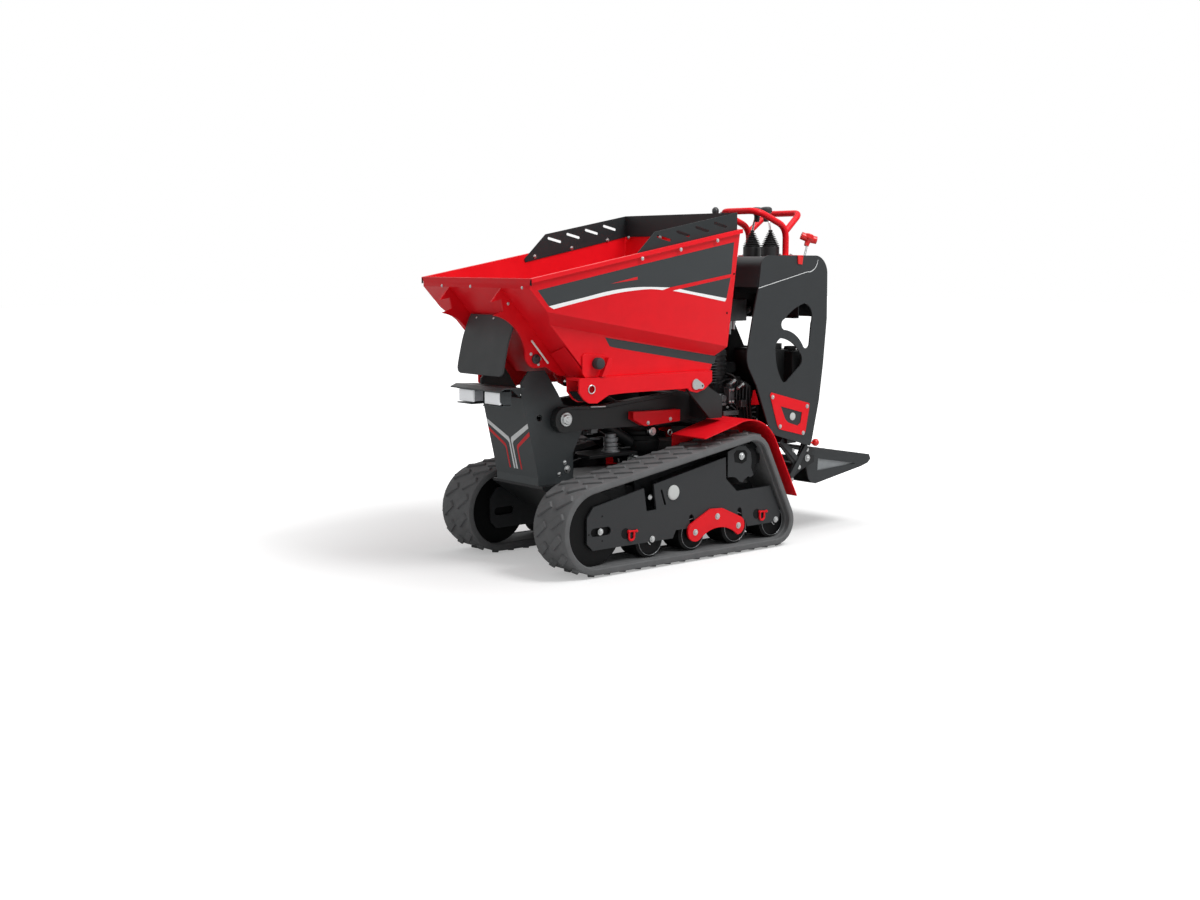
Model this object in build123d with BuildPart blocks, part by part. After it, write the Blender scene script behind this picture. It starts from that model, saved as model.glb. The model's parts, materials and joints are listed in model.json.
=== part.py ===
"""Tracked site dumper with a high-lift skip, a walk-behind console and a folding rider platform.

Frame: +X forward to the skip's lip, +Y to the machine's left, +Z up.  z = 0 is the floor under the
track lugs, and x = 0 is the middle of the machine's length.  Side views are drawn from the middle
of the track's ground contact, forward and up.  All lengths are millimetres.
"""
from build123d import *
from math import acos, atan2, cos, degrees, hypot, pi, radians, sin, tan
import os

os.makedirs("parts", exist_ok=True)

# ---------------------------------------------------------------- driving dimensions
# tracks
OVERALL_WIDTH = 750
TRACK_WIDTH = 180
BELT_THICKNESS = 25
LUG_HEIGHT = 9
LUG_PITCH = 72
LUG_TIP = 22
LUG_ROOT = 30
IDLER_X, IDLER_RADIUS = 444, 132
SPROCKET_X, SPROCKET_Z, SPROCKET_RADIUS = -300, 345, 75
TAIL_X, ROLLER_RADIUS = -438, 64
SPROCKET_TEETH, TOOTH_GAP = 7, 15
WHEEL_GAP = 0.3
ROAD_ROLLERS_X = (184, -22, -240)

# track frames
FRAME_INSET = 30
FRAME_PLATE = 8
FRAME_WIDTH = 116
ROLLER_SIDE_GAP = 4
AXLE_RADIUS = 12
TENSION_SLOT_PLACE = (416, 155)
TENSION_SLOT_LENGTH, TENSION_SLOT_WIDTH = 90, 30
BOGIE_SLOT_Z = 148

BOGIE_PLATE = 8
MOTOR_RADIUS = 45
MUDGUARD_WIDTH, MUDGUARD_SHEET, MUDGUARD_EDGE = 182, 4, 2
MUDGUARD_STAY, STAY_FOOT = 3.5, 36

# chassis and tower
TOWER_HALF_WIDTH = 125
TOWER_PLATE = 8
CHASSIS_HALF_WIDTH = 150
CHASSIS_BOTTOM = 190
CHASSIS_TOP = 300
CHASSIS_PLATE = 10
DECK_TOP = 385

# lift arms and skip linkage
ARM_PIVOT = (424, 533)
SKIP_PIVOT = (-75, 642)
PIN_RADIUS = 15
PIN_GAP = 0.3
ARM_INNER = 128
ARM_THICKNESS = 32
ARM_BOSS_RADIUS, ARM_BOSS_DROP = 46, 3.5
ARM_PIN_REACH = 12
CHANNEL_WIDTH, CHANNEL_SHEET = 28, 3

LIFT_BASE = (-80, 330)
LIFT_EYE = (260, 530)
LIFT_CYLINDER_Y = 90
TIP_BASE = (60, 540)
TIP_EYE = (280, 655)
BARREL_RADIUS = 24
ROD_RADIUS = 12
EYE_RADIUS = 22
EYE_WIDTH = 44
BARREL_WALL = 4
BORE_START, ROD_START = 12, 20
BRACKET_LUG, BRACKET_EDGE = 10, 25
CROSS_BEAM_X, CROSS_BEAM_Z = -200, 545
CROSS_BEAM_LENGTH, CROSS_BEAM_HEIGHT = 60, 80

# skip
SKIP_WALL = 4
SKIP_HALF_WIDTH = 322
SKIP_SIDE_STEP = 39
LIP_X, LIP_Z = 701, 1031
LIP_HEIGHT = 33
REAR_TOP_X, REAR_TOP_Z = -271, 1205
FLOOR_Z = 688
FLOOR_FRONT_X, FLOOR_REAR_X = 414, -160
FOLD_SLOPE = 0.174
FOLD_UPPER_Z = 811
FOLD_LOWER_Z = 772
RIB_Y = 156
RIB_PLATE = 8
RIB_NOSE_X = 741
RAIL_INNER, RAIL_OUTER = 232, 304
RAIL_DEPTH = 60
RAIL_WALL = 8
BUSH_PLACE = (424, 649)
BUSH_RADIUS = 13

# console and platform
PANEL_Y = 312
PANEL_THICKNESS = 6
PLATFORM_HALF_WIDTH = 270
PLATFORM_PIVOT = (-711, 311)
PLATFORM_LENGTH = 379
PLATFORM_PLATE = 5

# small pieces
FACE_GAP = 0.3
SHACKLES_X = (280, -374)
SHACKLE_Z = 121
SHACKLE_RADIUS = 11
SHACKLE_ROD = 8
SHACKLE_LEG = 24
CROSS_TUBES_X = (180, -120)
CROSS_TUBE_Z = 250
CROSS_TUBE_RADIUS = 30
HOOD_HALF_WIDTH = 150
HOOD_SHEET = 4
LAMP_FRONT_X = 686
LAMP_Y, LAMP_Z = 79, 617
LAMP_WIDTH, LAMP_HEIGHT, LAMP_DEPTH = 92, 48, 45
LAMP_STUB_RADIUS, LAMP_STUB, LAMP_EDGE = 8, 9.7, 6
LAMP_FOOT_REACH = 6
ENGINE_SIDE_ROOM = 205
ENGINE_TOP_Z = 745
ENGINE_EDGE = 10
FIN_COUNT, FIN_PITCH, FIN_SHEET = 6, 20, 5
FIN_PLACE, FIN_FOOT = (-450, -10), 530
FIN_LENGTH, FIN_WIDTH = 130, 150
CANISTER_PLACE, CANISTER_FOOT, CANISTER_RADIUS = (-370, 95), 600, 38
TANK_HALF_WIDTH = 240
TANK_REAR_X, TANK_FRONT_X = -650, -540
TANK_FOOT, TANK_TOP, TANK_EDGE = 600, 745, 14
TANK_LEG_LENGTH, TANK_LEG_WIDTH = 30, 20
CAP_PLACE, CAP_RADIUS, CAP_HEIGHT = (-600, 180), 32, 22
BEAM_X, BEAM_TOP, BEAM_SIZE = -575, 435, 50
VALVE_HALF_WIDTH = 70
VALVE_X, VALVE_Z = -513, 895
VALVE_LENGTH, VALVE_HEIGHT = 90, 84
VALVE_PITCH, SPOOL_RADIUS, SPOOL_DROP = 44, 15, 10
VALVE_POST = 50
DASH_SHEET = 4
GUARD_SHEET = 3
GUARD_REAR_X, GUARD_TOP, GUARD_DEPTH = -256, 1265, 105
GUARD_SLOT_X, GUARD_SLOT_DROP = 105, 97
GUARD_SLOTS, GUARD_SLOT_PITCH, GUARD_SLOT_RISE = 4, 92, 16.7
GUARD_SLOT_LENGTH, GUARD_SLOT_WIDTH, GUARD_SLOT_TURN = 68, 10, 13
RIM_WIDTH, RIM_HEIGHT = 12, 26
FLAP_HALF_WIDTH, FLAP_SHEET = 140, 8
BUMPER_PLACE, BUMPER_RADIUS = (383, 738), 24
BUMPER_PLATE, BUMPER_LENGTH = 8, 34
LUG_PLATE = 12
KEEPER_RADIUS, KEEPER_TIP_RADIUS, KEEPER_PLATE = 25, 12, 6
KEEPER_REACH, KEEPER_DROP = 36, 6
TRIM_SHEET = 2
BAR_RADIUS = 13
DASH_TOP = 1105
POST_X, POST_Y = -740, 103
POST_TOP, FORK_Z = 1226, 1214
FOOT_WIDTH, FOOT_PLATE = 80, 6
RAIL_BEND_X = -560
HOOP_BEND, GRAB_BEND = 40, 22
RAIL_Z = 1283
HOOP_FRONT_X = -400
GRAB_X, GRAB_Y, GRAB_Z = -835, 90, 1277
LEVER_X, LEVER_Y = -690, 60
BOOT_RADIUS, BOOT_TIP_RADIUS = 34, 11
BOOT_COLLAR, BOOT_CONE = 52, 58
LEVER_RADIUS, LEVER_GAP = 5, 3
KNOB_SHIFT, KNOB_Z = 26, 1262
KNOB_RADIUS, KNOB_HEIGHT = 16, 48
BRACKET_OUTER = 290
BRACKET_PLATE = 8
HINGE_PIN_RADIUS, HINGE_PIN_LENGTH = 8, 34
BRACKET_TUBE, BRACKET_TUBE_RADIUS = (-626, 285), 18

# ---------------------------------------------------------------- derived places
SKIP_FLOOR_HALF_WIDTH = SKIP_HALF_WIDTH - SKIP_SIDE_STEP
FOLD_START_X = LIP_X + 20
ENGINE_HALF_WIDTH = OVERALL_WIDTH / 2 - ENGINE_SIDE_ROOM
ENGINE_FOOT_Z = DECK_TOP + FACE_GAP
PANEL_INNER = PANEL_Y - PANEL_THICKNESS / 2 - FACE_GAP
BELT_OUTER = BELT_THICKNESS + LUG_HEIGHT
TRACK_Y = (OVERALL_WIDTH - TRACK_WIDTH) / 2
IDLER_Z = IDLER_RADIUS + BELT_OUTER
ROLLER_Z = ROLLER_RADIUS + BELT_OUTER
FRONT_REACH = RIB_NOSE_X
REAR_REACH = -PLATFORM_PIVOT[0] + PLATFORM_LENGTH
DATUM_X = (REAR_REACH - FRONT_REACH) / 2
LAMP_REAR_X = LAMP_FRONT_X - LAMP_DEPTH - FACE_GAP
LAMP_FOOT_Z = LAMP_Z - LAMP_HEIGHT / 2 - FACE_GAP
SIDES = (("left", 1), ("right", -1))


def side(y):
    """Side-view plane at y: sketch X runs forward, sketch Y up, and +extrude goes towards -Y."""
    return Plane(origin=(DATUM_X, y, 0), x_dir=(1, 0, 0), z_dir=(0, -1, 0))


def front(x):
    """Front-view plane at x: sketch X runs to the left, sketch Y up, and +extrude goes forward."""
    return Plane(origin=(DATUM_X + x, 0, 0), x_dir=(0, 1, 0), z_dir=(1, 0, 0))


def top(z):
    """Plan-view plane at z: sketch X runs forward, sketch Y to the left, +extrude goes up."""
    return Plane(origin=(DATUM_X, 0, z), x_dir=(1, 0, 0), z_dir=(0, 0, 1))


def save(piece, label):
    """Label a finished piece and write its STEP file."""
    piece.part.label = label
    export_step(piece.part, f"parts/{label}.step")


# ---------------------------------------------------------------- tracks
# wheel columns: centre x, centre z, radius of the belt's inner face, counter-clockwise
LOOP = (
    (TAIL_X, ROLLER_Z, ROLLER_RADIUS),
    (IDLER_X, IDLER_Z, IDLER_RADIUS),
    (SPROCKET_X, SPROCKET_Z, SPROCKET_RADIUS),
)


def loop_arcs(grow):
    """Arcs of the belt loop round its three wheels.

    Args:
        grow: distance of the loop outside the wheels' rims.
    Returns:
        For each wheel its centre, radius and the angles where the belt meets and leaves it.
    """
    tangents = []
    for (x1, z1, r1), (x2, z2, r2) in zip(LOOP, LOOP[1:] + LOOP[:1]):
        run = hypot(x2 - x1, z2 - z1)
        tangents.append(atan2(z2 - z1, x2 - x1) - acos((r1 - r2) / run))
    arcs = []
    for index, (x, z, radius) in enumerate(LOOP):
        enter, leave = tangents[index - 1], tangents[index]
        while leave < enter:
            leave += 2 * pi
        arcs.append((x, z, radius + grow, enter, leave))
    return arcs


def loop_point(distance, grow):
    """Place and outward angle at a distance along the loop, from where it leaves the tail roller."""
    arcs = loop_arcs(grow)
    for index, (x, z, radius, _, leave) in enumerate(arcs):
        nx, nz, nradius, nenter, nleave = arcs[(index + 1) % len(arcs)]
        start = (x + radius * cos(leave), z + radius * sin(leave))
        end = (nx + nradius * cos(nenter), nz + nradius * sin(nenter))
        run = hypot(end[0] - start[0], end[1] - start[1])
        if distance <= run:
            share = distance / run
            return start[0] + share * (end[0] - start[0]), start[1] + share * (end[1] - start[1]), leave
        distance -= run
        turn = nradius * (nleave - nenter)
        if distance <= turn:
            angle = nenter + distance / nradius
            return nx + nradius * cos(angle), nz + nradius * sin(angle), angle
        distance -= turn
    return loop_point(0, grow)


def loop_length(grow):
    """Length once round the belt loop."""
    arcs = loop_arcs(grow)
    total = 0
    for index, (x, z, radius, enter, leave) in enumerate(arcs):
        nx, nz, nradius, nenter, _ = arcs[(index + 1) % len(arcs)]
        total += radius * (leave - enter)
        total += hypot(nx + nradius * cos(nenter) - x - radius * cos(leave),
                       nz + nradius * sin(nenter) - z - radius * sin(leave))
    return total


def draw_loop(grow):
    """Draw the belt loop's closed outline in the open BuildLine."""
    arcs = loop_arcs(grow)
    for index, (x, z, radius, enter, leave) in enumerate(arcs):
        nx, nz, nradius, nenter, _ = arcs[(index + 1) % len(arcs)]
        CenterArc((x, z), radius, degrees(enter), degrees(leave - enter))
        Line((x + radius * cos(leave), z + radius * sin(leave)),
             (nx + nradius * cos(nenter), nz + nradius * sin(nenter)))


LUG_COUNT = round(loop_length(BELT_THICKNESS) / LUG_PITCH)
LUG_STEP = loop_length(BELT_THICKNESS) / LUG_COUNT


def lug_outline(shift):
    """Corner points of the lugged outer face, shifted along the loop by part of a lug step."""
    points = []
    for index in range(LUG_COUNT):
        middle = (index + shift) * LUG_STEP
        x, z, angle = loop_point(middle, BELT_THICKNESS)
        rear_root = loop_point(middle - LUG_ROOT / 2, BELT_THICKNESS)
        front_root = loop_point(middle + LUG_ROOT / 2, BELT_THICKNESS)
        points.append(rear_root[:2])
        for along in (-LUG_TIP / 2, LUG_TIP / 2):
            points.append((x + LUG_HEIGHT * cos(angle) - along * sin(angle),
                           z + LUG_HEIGHT * sin(angle) + along * cos(angle)))
        points.append(front_root[:2])
    return points


for name, sign in SIDES:
    with BuildPart() as track:
        for half, shift in ((1, 0), (-1, 0.5)):
            with BuildSketch(side(sign * TRACK_Y)):
                with BuildLine():
                    Polyline(*lug_outline(shift), close=True)
                make_face()
                with BuildLine():
                    draw_loop(0)
                make_face(mode=Mode.SUBTRACT)
            extrude(amount=-sign * half * TRACK_WIDTH / 2)
    save(track, f"{name}_track")

# ---------------------------------------------------------------- track frames and wheels
FRAME_OUTER = OVERALL_WIDTH / 2 - FRAME_INSET
FRAME_INNER = FRAME_OUTER - FRAME_WIDTH

for name, sign in SIDES:
    with BuildPart() as track_frame:
        for face_y in (FRAME_OUTER, FRAME_INNER + FRAME_PLATE):
            with BuildSketch(side(sign * face_y)):
                with BuildLine():
                    Polyline((452, 92), (478, 118), (478, 208), (450, 244), (166, 299), (-184, 366),
                             (-187, 284), (-244, 233), (-424, 236), (-460, 165), (-478, 128), (-470, 93),
                             (-300, 93), (-290, 120), (64, 120), (79, 92), close=True)
                make_face()
                with Locations(TENSION_SLOT_PLACE):
                    SlotOverall(TENSION_SLOT_LENGTH, TENSION_SLOT_WIDTH, mode=Mode.SUBTRACT)
                with BuildLine():
                    Polyline((220, 295), (172, 301), (159, 206), (205, 204), close=True)
                make_face(mode=Mode.SUBTRACT)
                with Locations((126, 247)):
                    SlotOverall(62, 9, rotation=71, mode=Mode.SUBTRACT)
                with Locations((-14, BOGIE_SLOT_Z), (-260, BOGIE_SLOT_Z)):
                    SlotOverall(44, 22, rotation=80, mode=Mode.SUBTRACT)
            extrude(amount=sign * FRAME_PLATE)
        with BuildSketch(side(sign * (FRAME_OUTER - FRAME_PLATE))):
            with BuildLine():
                Polyline((90, 200), (90, 290), (-178, 345), (-178, 262), (-60, 200), close=True)
            make_face()
        extrude(amount=sign * (FRAME_WIDTH - 2 * FRAME_PLATE))
    save(track_frame, f"{name}_track_frame")

    with BuildPart() as rollers:
        wheel_width = FRAME_WIDTH - 2 * FRAME_PLATE - 2 * ROLLER_SIDE_GAP
        for x, z, radius in [(x, ROLLER_Z, ROLLER_RADIUS) for x in (*ROAD_ROLLERS_X, TAIL_X)] + [
                (IDLER_X, IDLER_Z, IDLER_RADIUS)]:
            with BuildSketch(side(sign * (FRAME_OUTER - FRAME_PLATE - ROLLER_SIDE_GAP))):
                with Locations((x, z)):
                    Circle(radius - WHEEL_GAP)
            extrude(amount=sign * wheel_width)
            with BuildSketch(side(sign * (FRAME_OUTER - FRAME_PLATE))):
                with Locations((x, z)):
                    Circle(AXLE_RADIUS)
            extrude(amount=sign * (FRAME_WIDTH - 2 * FRAME_PLATE))
    save(rollers, f"{name}_rollers")

    with BuildPart() as sprocket:
        with BuildSketch(side(sign * (FRAME_OUTER - FRAME_PLATE - ROLLER_SIDE_GAP))):
            with Locations((SPROCKET_X, SPROCKET_Z)):
                Circle(SPROCKET_RADIUS - WHEEL_GAP)
                with PolarLocations(SPROCKET_RADIUS, SPROCKET_TEETH):
                    Circle(TOOTH_GAP, mode=Mode.SUBTRACT)
        extrude(amount=sign * (FRAME_WIDTH - 2 * FRAME_PLATE - 2 * ROLLER_SIDE_GAP))
        with BuildSketch(side(sign * FRAME_OUTER)):
            with Locations((SPROCKET_X, SPROCKET_Z)):
                Circle(MOTOR_RADIUS)
        extrude(amount=sign * (FRAME_OUTER - CHASSIS_HALF_WIDTH))
    save(sprocket, f"{name}_sprocket")

    with BuildPart() as bogie:
        with BuildSketch(side(sign * (FRAME_OUTER + BOGIE_PLATE + WHEEL_GAP))):
            with BuildLine():
                crown = Polyline((0, 134), (-103, 181), (-163, 178), (-256, 137))
                ThreePointArc(crown @ 1, (-277, 100), (-242, 70))
                ThreePointArc((-242, 70), (-141, 108), (-48, 74))
                ThreePointArc((-48, 74), (6, 88), crown @ 0)
            make_face()
        extrude(amount=sign * BOGIE_PLATE)
    save(bogie, f"{name}_bogie_plate")

    with BuildPart() as mudguard:
        with BuildSketch(side(sign * (OVERALL_WIDTH / 2 - MUDGUARD_EDGE))):
            with BuildLine():
                Line((-51, 449), (-214, 490))
                ThreePointArc((-214, 490), (-332, 493), (-419, 421))
                Line((-419, 421), (-542, 190))
                offset(amount=MUDGUARD_SHEET, side=Side.LEFT)
            make_face()
        extrude(amount=sign * MUDGUARD_WIDTH)
        stay_y = OVERALL_WIDTH / 2 - MUDGUARD_EDGE - MUDGUARD_WIDTH + MUDGUARD_STAY
        with BuildSketch(side(sign * stay_y)):
            with BuildLine():
                Polyline((-52, 448), (-214, 488), (-288, 500), (-336, 490), (-392, 455), (-417, 419),
                         (-417, 340), (-367, 340), (-367, 400), (-288, 420), (-88, 400), (-88, 260),
                         (-52, 260), close=True)
            make_face()
        extrude(amount=sign * MUDGUARD_STAY)
        with BuildSketch(side(sign * stay_y)):
            with Locations((-392, 360), (-70, 280)):
                Rectangle(STAY_FOOT, STAY_FOOT)
        extrude(amount=sign * (stay_y - CHASSIS_HALF_WIDTH - FACE_GAP))
    save(mudguard, f"{name}_mudguard")


with BuildPart() as shackles:
    for _, sign in SIDES:
        for x in SHACKLES_X:
            with BuildSketch(side(sign * (FRAME_OUTER + SHACKLE_ROD + WHEEL_GAP))):
                with Locations((x, SHACKLE_Z)):
                    Circle(SHACKLE_RADIUS + SHACKLE_ROD)
                    Rectangle(2 * (SHACKLE_RADIUS + SHACKLE_ROD), SHACKLE_LEG,
                              align=(Align.CENTER, Align.MIN))
                    Circle(SHACKLE_RADIUS, mode=Mode.SUBTRACT)
                    Rectangle(2 * SHACKLE_RADIUS, SHACKLE_LEG, align=(Align.CENTER, Align.MIN),
                              mode=Mode.SUBTRACT)
                with Locations((x, SHACKLE_Z + SHACKLE_LEG)):
                    Rectangle(2 * SHACKLE_RADIUS + 3 * SHACKLE_ROD, SHACKLE_ROD)
            extrude(amount=sign * SHACKLE_ROD)
save(shackles, "lashing_shackles")

# ---------------------------------------------------------------- chassis and tower
CHASSIS_OUTLINE = ((-600, 230), (-560, CHASSIS_BOTTOM), (380, CHASSIS_BOTTOM), (521, 290),
                   (521, CHASSIS_TOP),
                   (-240, CHASSIS_TOP), (-240, DECK_TOP), (-600, DECK_TOP))
CHASSIS_HOLLOW = ((-590, 240), (-550, CHASSIS_BOTTOM + CHASSIS_PLATE),
                  (376, CHASSIS_BOTTOM + CHASSIS_PLATE),
                  (490, CHASSIS_TOP - CHASSIS_PLATE), (-250, CHASSIS_TOP - CHASSIS_PLATE),
                  (-250, DECK_TOP - CHASSIS_PLATE), (-590, DECK_TOP - CHASSIS_PLATE))
with BuildPart() as chassis_frame:
    with BuildSketch(side(CHASSIS_HALF_WIDTH)):
        with BuildLine():
            Polyline(*CHASSIS_OUTLINE, close=True)
        make_face()
    extrude(amount=2 * CHASSIS_HALF_WIDTH)
    with BuildSketch(side(CHASSIS_HALF_WIDTH - CHASSIS_PLATE)):
        with BuildLine():
            Polyline(*CHASSIS_HOLLOW, close=True)
        make_face()
    extrude(amount=2 * (CHASSIS_HALF_WIDTH - CHASSIS_PLATE), mode=Mode.SUBTRACT)
    for x in CROSS_TUBES_X:
        for _, sign in SIDES:
            with BuildSketch(side(sign * FRAME_INNER)):
                with Locations((x, CROSS_TUBE_Z)):
                    Circle(CROSS_TUBE_RADIUS)
            extrude(amount=sign * (FRAME_INNER - CHASSIS_HALF_WIDTH))
    with BuildSketch(side(PANEL_INNER)):
        with Locations((BEAM_X, BEAM_TOP - BEAM_SIZE / 2)):
            Rectangle(BEAM_SIZE, BEAM_SIZE)
    extrude(amount=2 * PANEL_INNER)
save(chassis_frame, "chassis_frame")

with BuildPart() as tower:
    for _, sign in SIDES:
        with BuildSketch(side(sign * TOWER_HALF_WIDTH)):
            with BuildLine():
                Polyline((521, 327), (587, 615), (592, 640), (592, 670), (560, 707), (489, 707),
                         (436, 629), (408, 583), (321, 556), (321, 486), (364, 408), (364, CHASSIS_TOP),
                         (521, CHASSIS_TOP), close=True)
            make_face()
            with Locations((515, 541)):
                Circle(12, mode=Mode.SUBTRACT)
            with Locations(ARM_PIVOT):
                Circle(PIN_RADIUS + PIN_GAP, mode=Mode.SUBTRACT)
        extrude(amount=sign * TOWER_PLATE)
    with BuildSketch(side(TOWER_HALF_WIDTH - TOWER_PLATE)):
        with BuildLine():
            Polyline((521, CHASSIS_TOP), (521, 327), (587, 615), (579, 615), (513, 327),
                     (513, CHASSIS_TOP), close=True)
        make_face()
    extrude(amount=2 * (TOWER_HALF_WIDTH - TOWER_PLATE))
save(tower, "tower")

with BuildPart() as hood:
    with BuildSketch(side(HOOD_HALF_WIDTH)):
        with BuildLine():
            hood_line = Polyline((592.3, 652), (680, 656), (704, 646))
            offset(hood_line, amount=HOOD_SHEET, side=Side.RIGHT)
        make_face()
    extrude(amount=2 * HOOD_HALF_WIDTH)
    for _, sign in SIDES:
        with BuildSketch(side(sign * TOWER_HALF_WIDTH)):
            with BuildLine():
                Polyline((592.3, 640), (600, 620), (640, 653), (592.3, 651), close=True)
            make_face()
        extrude(amount=sign * HOOD_SHEET)
        with BuildSketch(side(sign * LAMP_Y + LAMP_WIDTH / 2)):
            with BuildLine():
                Polyline((LAMP_REAR_X, 655), (LAMP_REAR_X, LAMP_FOOT_Z),
                         (LAMP_FRONT_X + LAMP_FOOT_REACH, LAMP_FOOT_Z),
                         (LAMP_FRONT_X + LAMP_FOOT_REACH, LAMP_FOOT_Z - HOOD_SHEET),
                         (LAMP_REAR_X - HOOD_SHEET, LAMP_FOOT_Z - HOOD_SHEET),
                         (LAMP_REAR_X - HOOD_SHEET, 655), close=True)
            make_face()
        extrude(amount=LAMP_WIDTH)
save(hood, "tower_hood")

with BuildPart() as work_lamps:
    for _, sign in SIDES:
        with BuildSketch(front(LAMP_FRONT_X)):
            with Locations((sign * LAMP_Y, LAMP_Z)):
                RectangleRounded(LAMP_WIDTH, LAMP_HEIGHT, LAMP_EDGE)
        extrude(amount=-LAMP_DEPTH)
        with BuildSketch(top(LAMP_Z + LAMP_HEIGHT / 2)):
            with Locations((LAMP_FRONT_X - LAMP_DEPTH / 2, sign * LAMP_Y)):
                Circle(LAMP_STUB_RADIUS)
        extrude(amount=LAMP_STUB)
save(work_lamps, "work_lamps")

# ---------------------------------------------------------------- engine bay
# low x, high x, low y, high y, low z, high z of the engine's boxy castings
ENGINE_BOXES = (
    (-520, -340, -ENGINE_HALF_WIDTH + 40, ENGINE_HALF_WIDTH - 50, ENGINE_FOOT_Z, 520),
    (-500, -400, -70, 50, 520, 650),
    (-510, -390, -80, 60, 650, 690),
    (-470, -330, 60, 130, 560, 640),
    (-500, -350, -150, -80, 600, 730),
)
# centre x, centre z, radius, outer y, inner y of the engine's round covers, all with their axis across
ENGINE_ROUNDS = (
    (-430, 500, 95, ENGINE_HALF_WIDTH, ENGINE_HALF_WIDTH - 50),
    (-430, 500, 60, -ENGINE_HALF_WIDTH + 40, -ENGINE_HALF_WIDTH),
)
with BuildPart() as engine:
    for low_x, high_x, low_y, high_y, low_z, high_z in ENGINE_BOXES:
        with BuildSketch(side(high_y)):
            with Locations(((low_x + high_x) / 2, (low_z + high_z) / 2)):
                RectangleRounded(high_x - low_x, high_z - low_z, ENGINE_EDGE)
        extrude(amount=high_y - low_y)
    for x, z, radius, outer, inner in ENGINE_ROUNDS:
        with BuildSketch(side(outer)):
            with Locations((x, z)):
                Circle(radius)
        extrude(amount=outer - inner)
    for index in range(FIN_COUNT):
        with BuildSketch(top(FIN_FOOT + index * FIN_PITCH)):
            with Locations(FIN_PLACE):
                Rectangle(FIN_LENGTH, FIN_WIDTH)
        extrude(amount=FIN_SHEET)
    with BuildSketch(top(CANISTER_FOOT)):
        with Locations(CANISTER_PLACE):
            Circle(CANISTER_RADIUS)
    extrude(amount=ENGINE_TOP_Z - CANISTER_FOOT)
save(engine, "engine")

with BuildPart() as control_valve:
    with BuildSketch(side(VALVE_HALF_WIDTH)):
        with Locations((VALVE_X, VALVE_Z)):
            Rectangle(VALVE_LENGTH, VALVE_HEIGHT)
    extrude(amount=2 * VALVE_HALF_WIDTH)
    with BuildSketch(top(VALVE_Z)):
        with Locations((VALVE_X, 0)):
            Rectangle(VALVE_POST, VALVE_POST)
    extrude(amount=DASH_TOP - DASH_SHEET - FACE_GAP - VALVE_Z)
    for index in (-1, 0, 1):
        with BuildSketch(side(index * VALVE_PITCH + SPOOL_RADIUS)):
            with Locations((VALVE_X + VALVE_LENGTH / 2, VALVE_Z - SPOOL_DROP)):
                Circle(SPOOL_RADIUS)
        extrude(amount=2 * SPOOL_RADIUS)
save(control_valve, "control_valve")

TANK_LEG_HEIGHT = TANK_FOOT - BEAM_TOP
with BuildPart() as fuel_tank:
    with BuildSketch(side(TANK_HALF_WIDTH)):
        with Locations(((TANK_REAR_X + TANK_FRONT_X) / 2, (TANK_FOOT + TANK_TOP) / 2)):
            RectangleRounded(TANK_FRONT_X - TANK_REAR_X, TANK_TOP - TANK_FOOT, TANK_EDGE)
    extrude(amount=2 * TANK_HALF_WIDTH)
    with BuildSketch(top(TANK_TOP)):
        with Locations(CAP_PLACE):
            Circle(CAP_RADIUS)
    extrude(amount=CAP_HEIGHT)
    for y in (TANK_HALF_WIDTH, TANK_LEG_WIDTH - TANK_HALF_WIDTH):
        with BuildSketch(side(y)):
            with Locations((BEAM_X, TANK_FOOT - TANK_LEG_HEIGHT / 2)):
                Rectangle(TANK_LEG_LENGTH, TANK_LEG_HEIGHT)
        extrude(amount=TANK_LEG_WIDTH)
save(fuel_tank, "fuel_tank")

# ---------------------------------------------------------------- console
for name, sign in SIDES:
    with BuildPart() as console_panel:
        with BuildSketch(side(sign * (PANEL_INNER + PANEL_THICKNESS + FACE_GAP))):
            with BuildLine():
                Line((-374, 980), (-385, 1060))
                ThreePointArc((-385, 1060), (-398, 1095), (-431, 1109))
                Line((-431, 1109), (-690, 1109))
                ThreePointArc((-690, 1109), (-737, 1085), (-755, 1042))
                Polyline((-755, 1042), (-757, 865), (-740, 688), (-720, 545), (-684, 393), (-674, 367),
                         (-482, 422))
                ThreePointArc((-482, 422), (-450, 447), (-432, 478))
                Polyline((-432, 478), (-371, 621), (-330, 687))
                ThreePointArc((-330, 687), (-319, 722), (-322, 761))
                Polyline((-322, 761), (-346, 874), (-374, 980))
            make_face()
            with BuildLine():
                ThreePointArc((-631, 927), (-664, 903), (-668, 849))
                Line((-668, 849), (-659, 766))
                ThreePointArc((-659, 766), (-645, 752), (-625, 758))
                ThreePointArc((-625, 758), (-574, 809), (-516, 827))
                ThreePointArc((-516, 827), (-502, 843), (-518, 868))
                ThreePointArc((-518, 868), (-569, 904), (-631, 927))
            make_face(mode=Mode.SUBTRACT)
            with BuildLine():
                ThreePointArc((-498, 795), (-478, 780), (-471, 745))
                ThreePointArc((-471, 745), (-482, 682), (-508, 633))
                ThreePointArc((-508, 633), (-521, 625), (-540, 632))
                Line((-540, 632), (-603, 680))
                ThreePointArc((-603, 680), (-619, 708), (-606, 736))
                ThreePointArc((-606, 736), (-560, 777), (-498, 795))
            make_face(mode=Mode.SUBTRACT)
        extrude(amount=sign * PANEL_THICKNESS)
    save(console_panel, f"{name}_console_panel")

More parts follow.
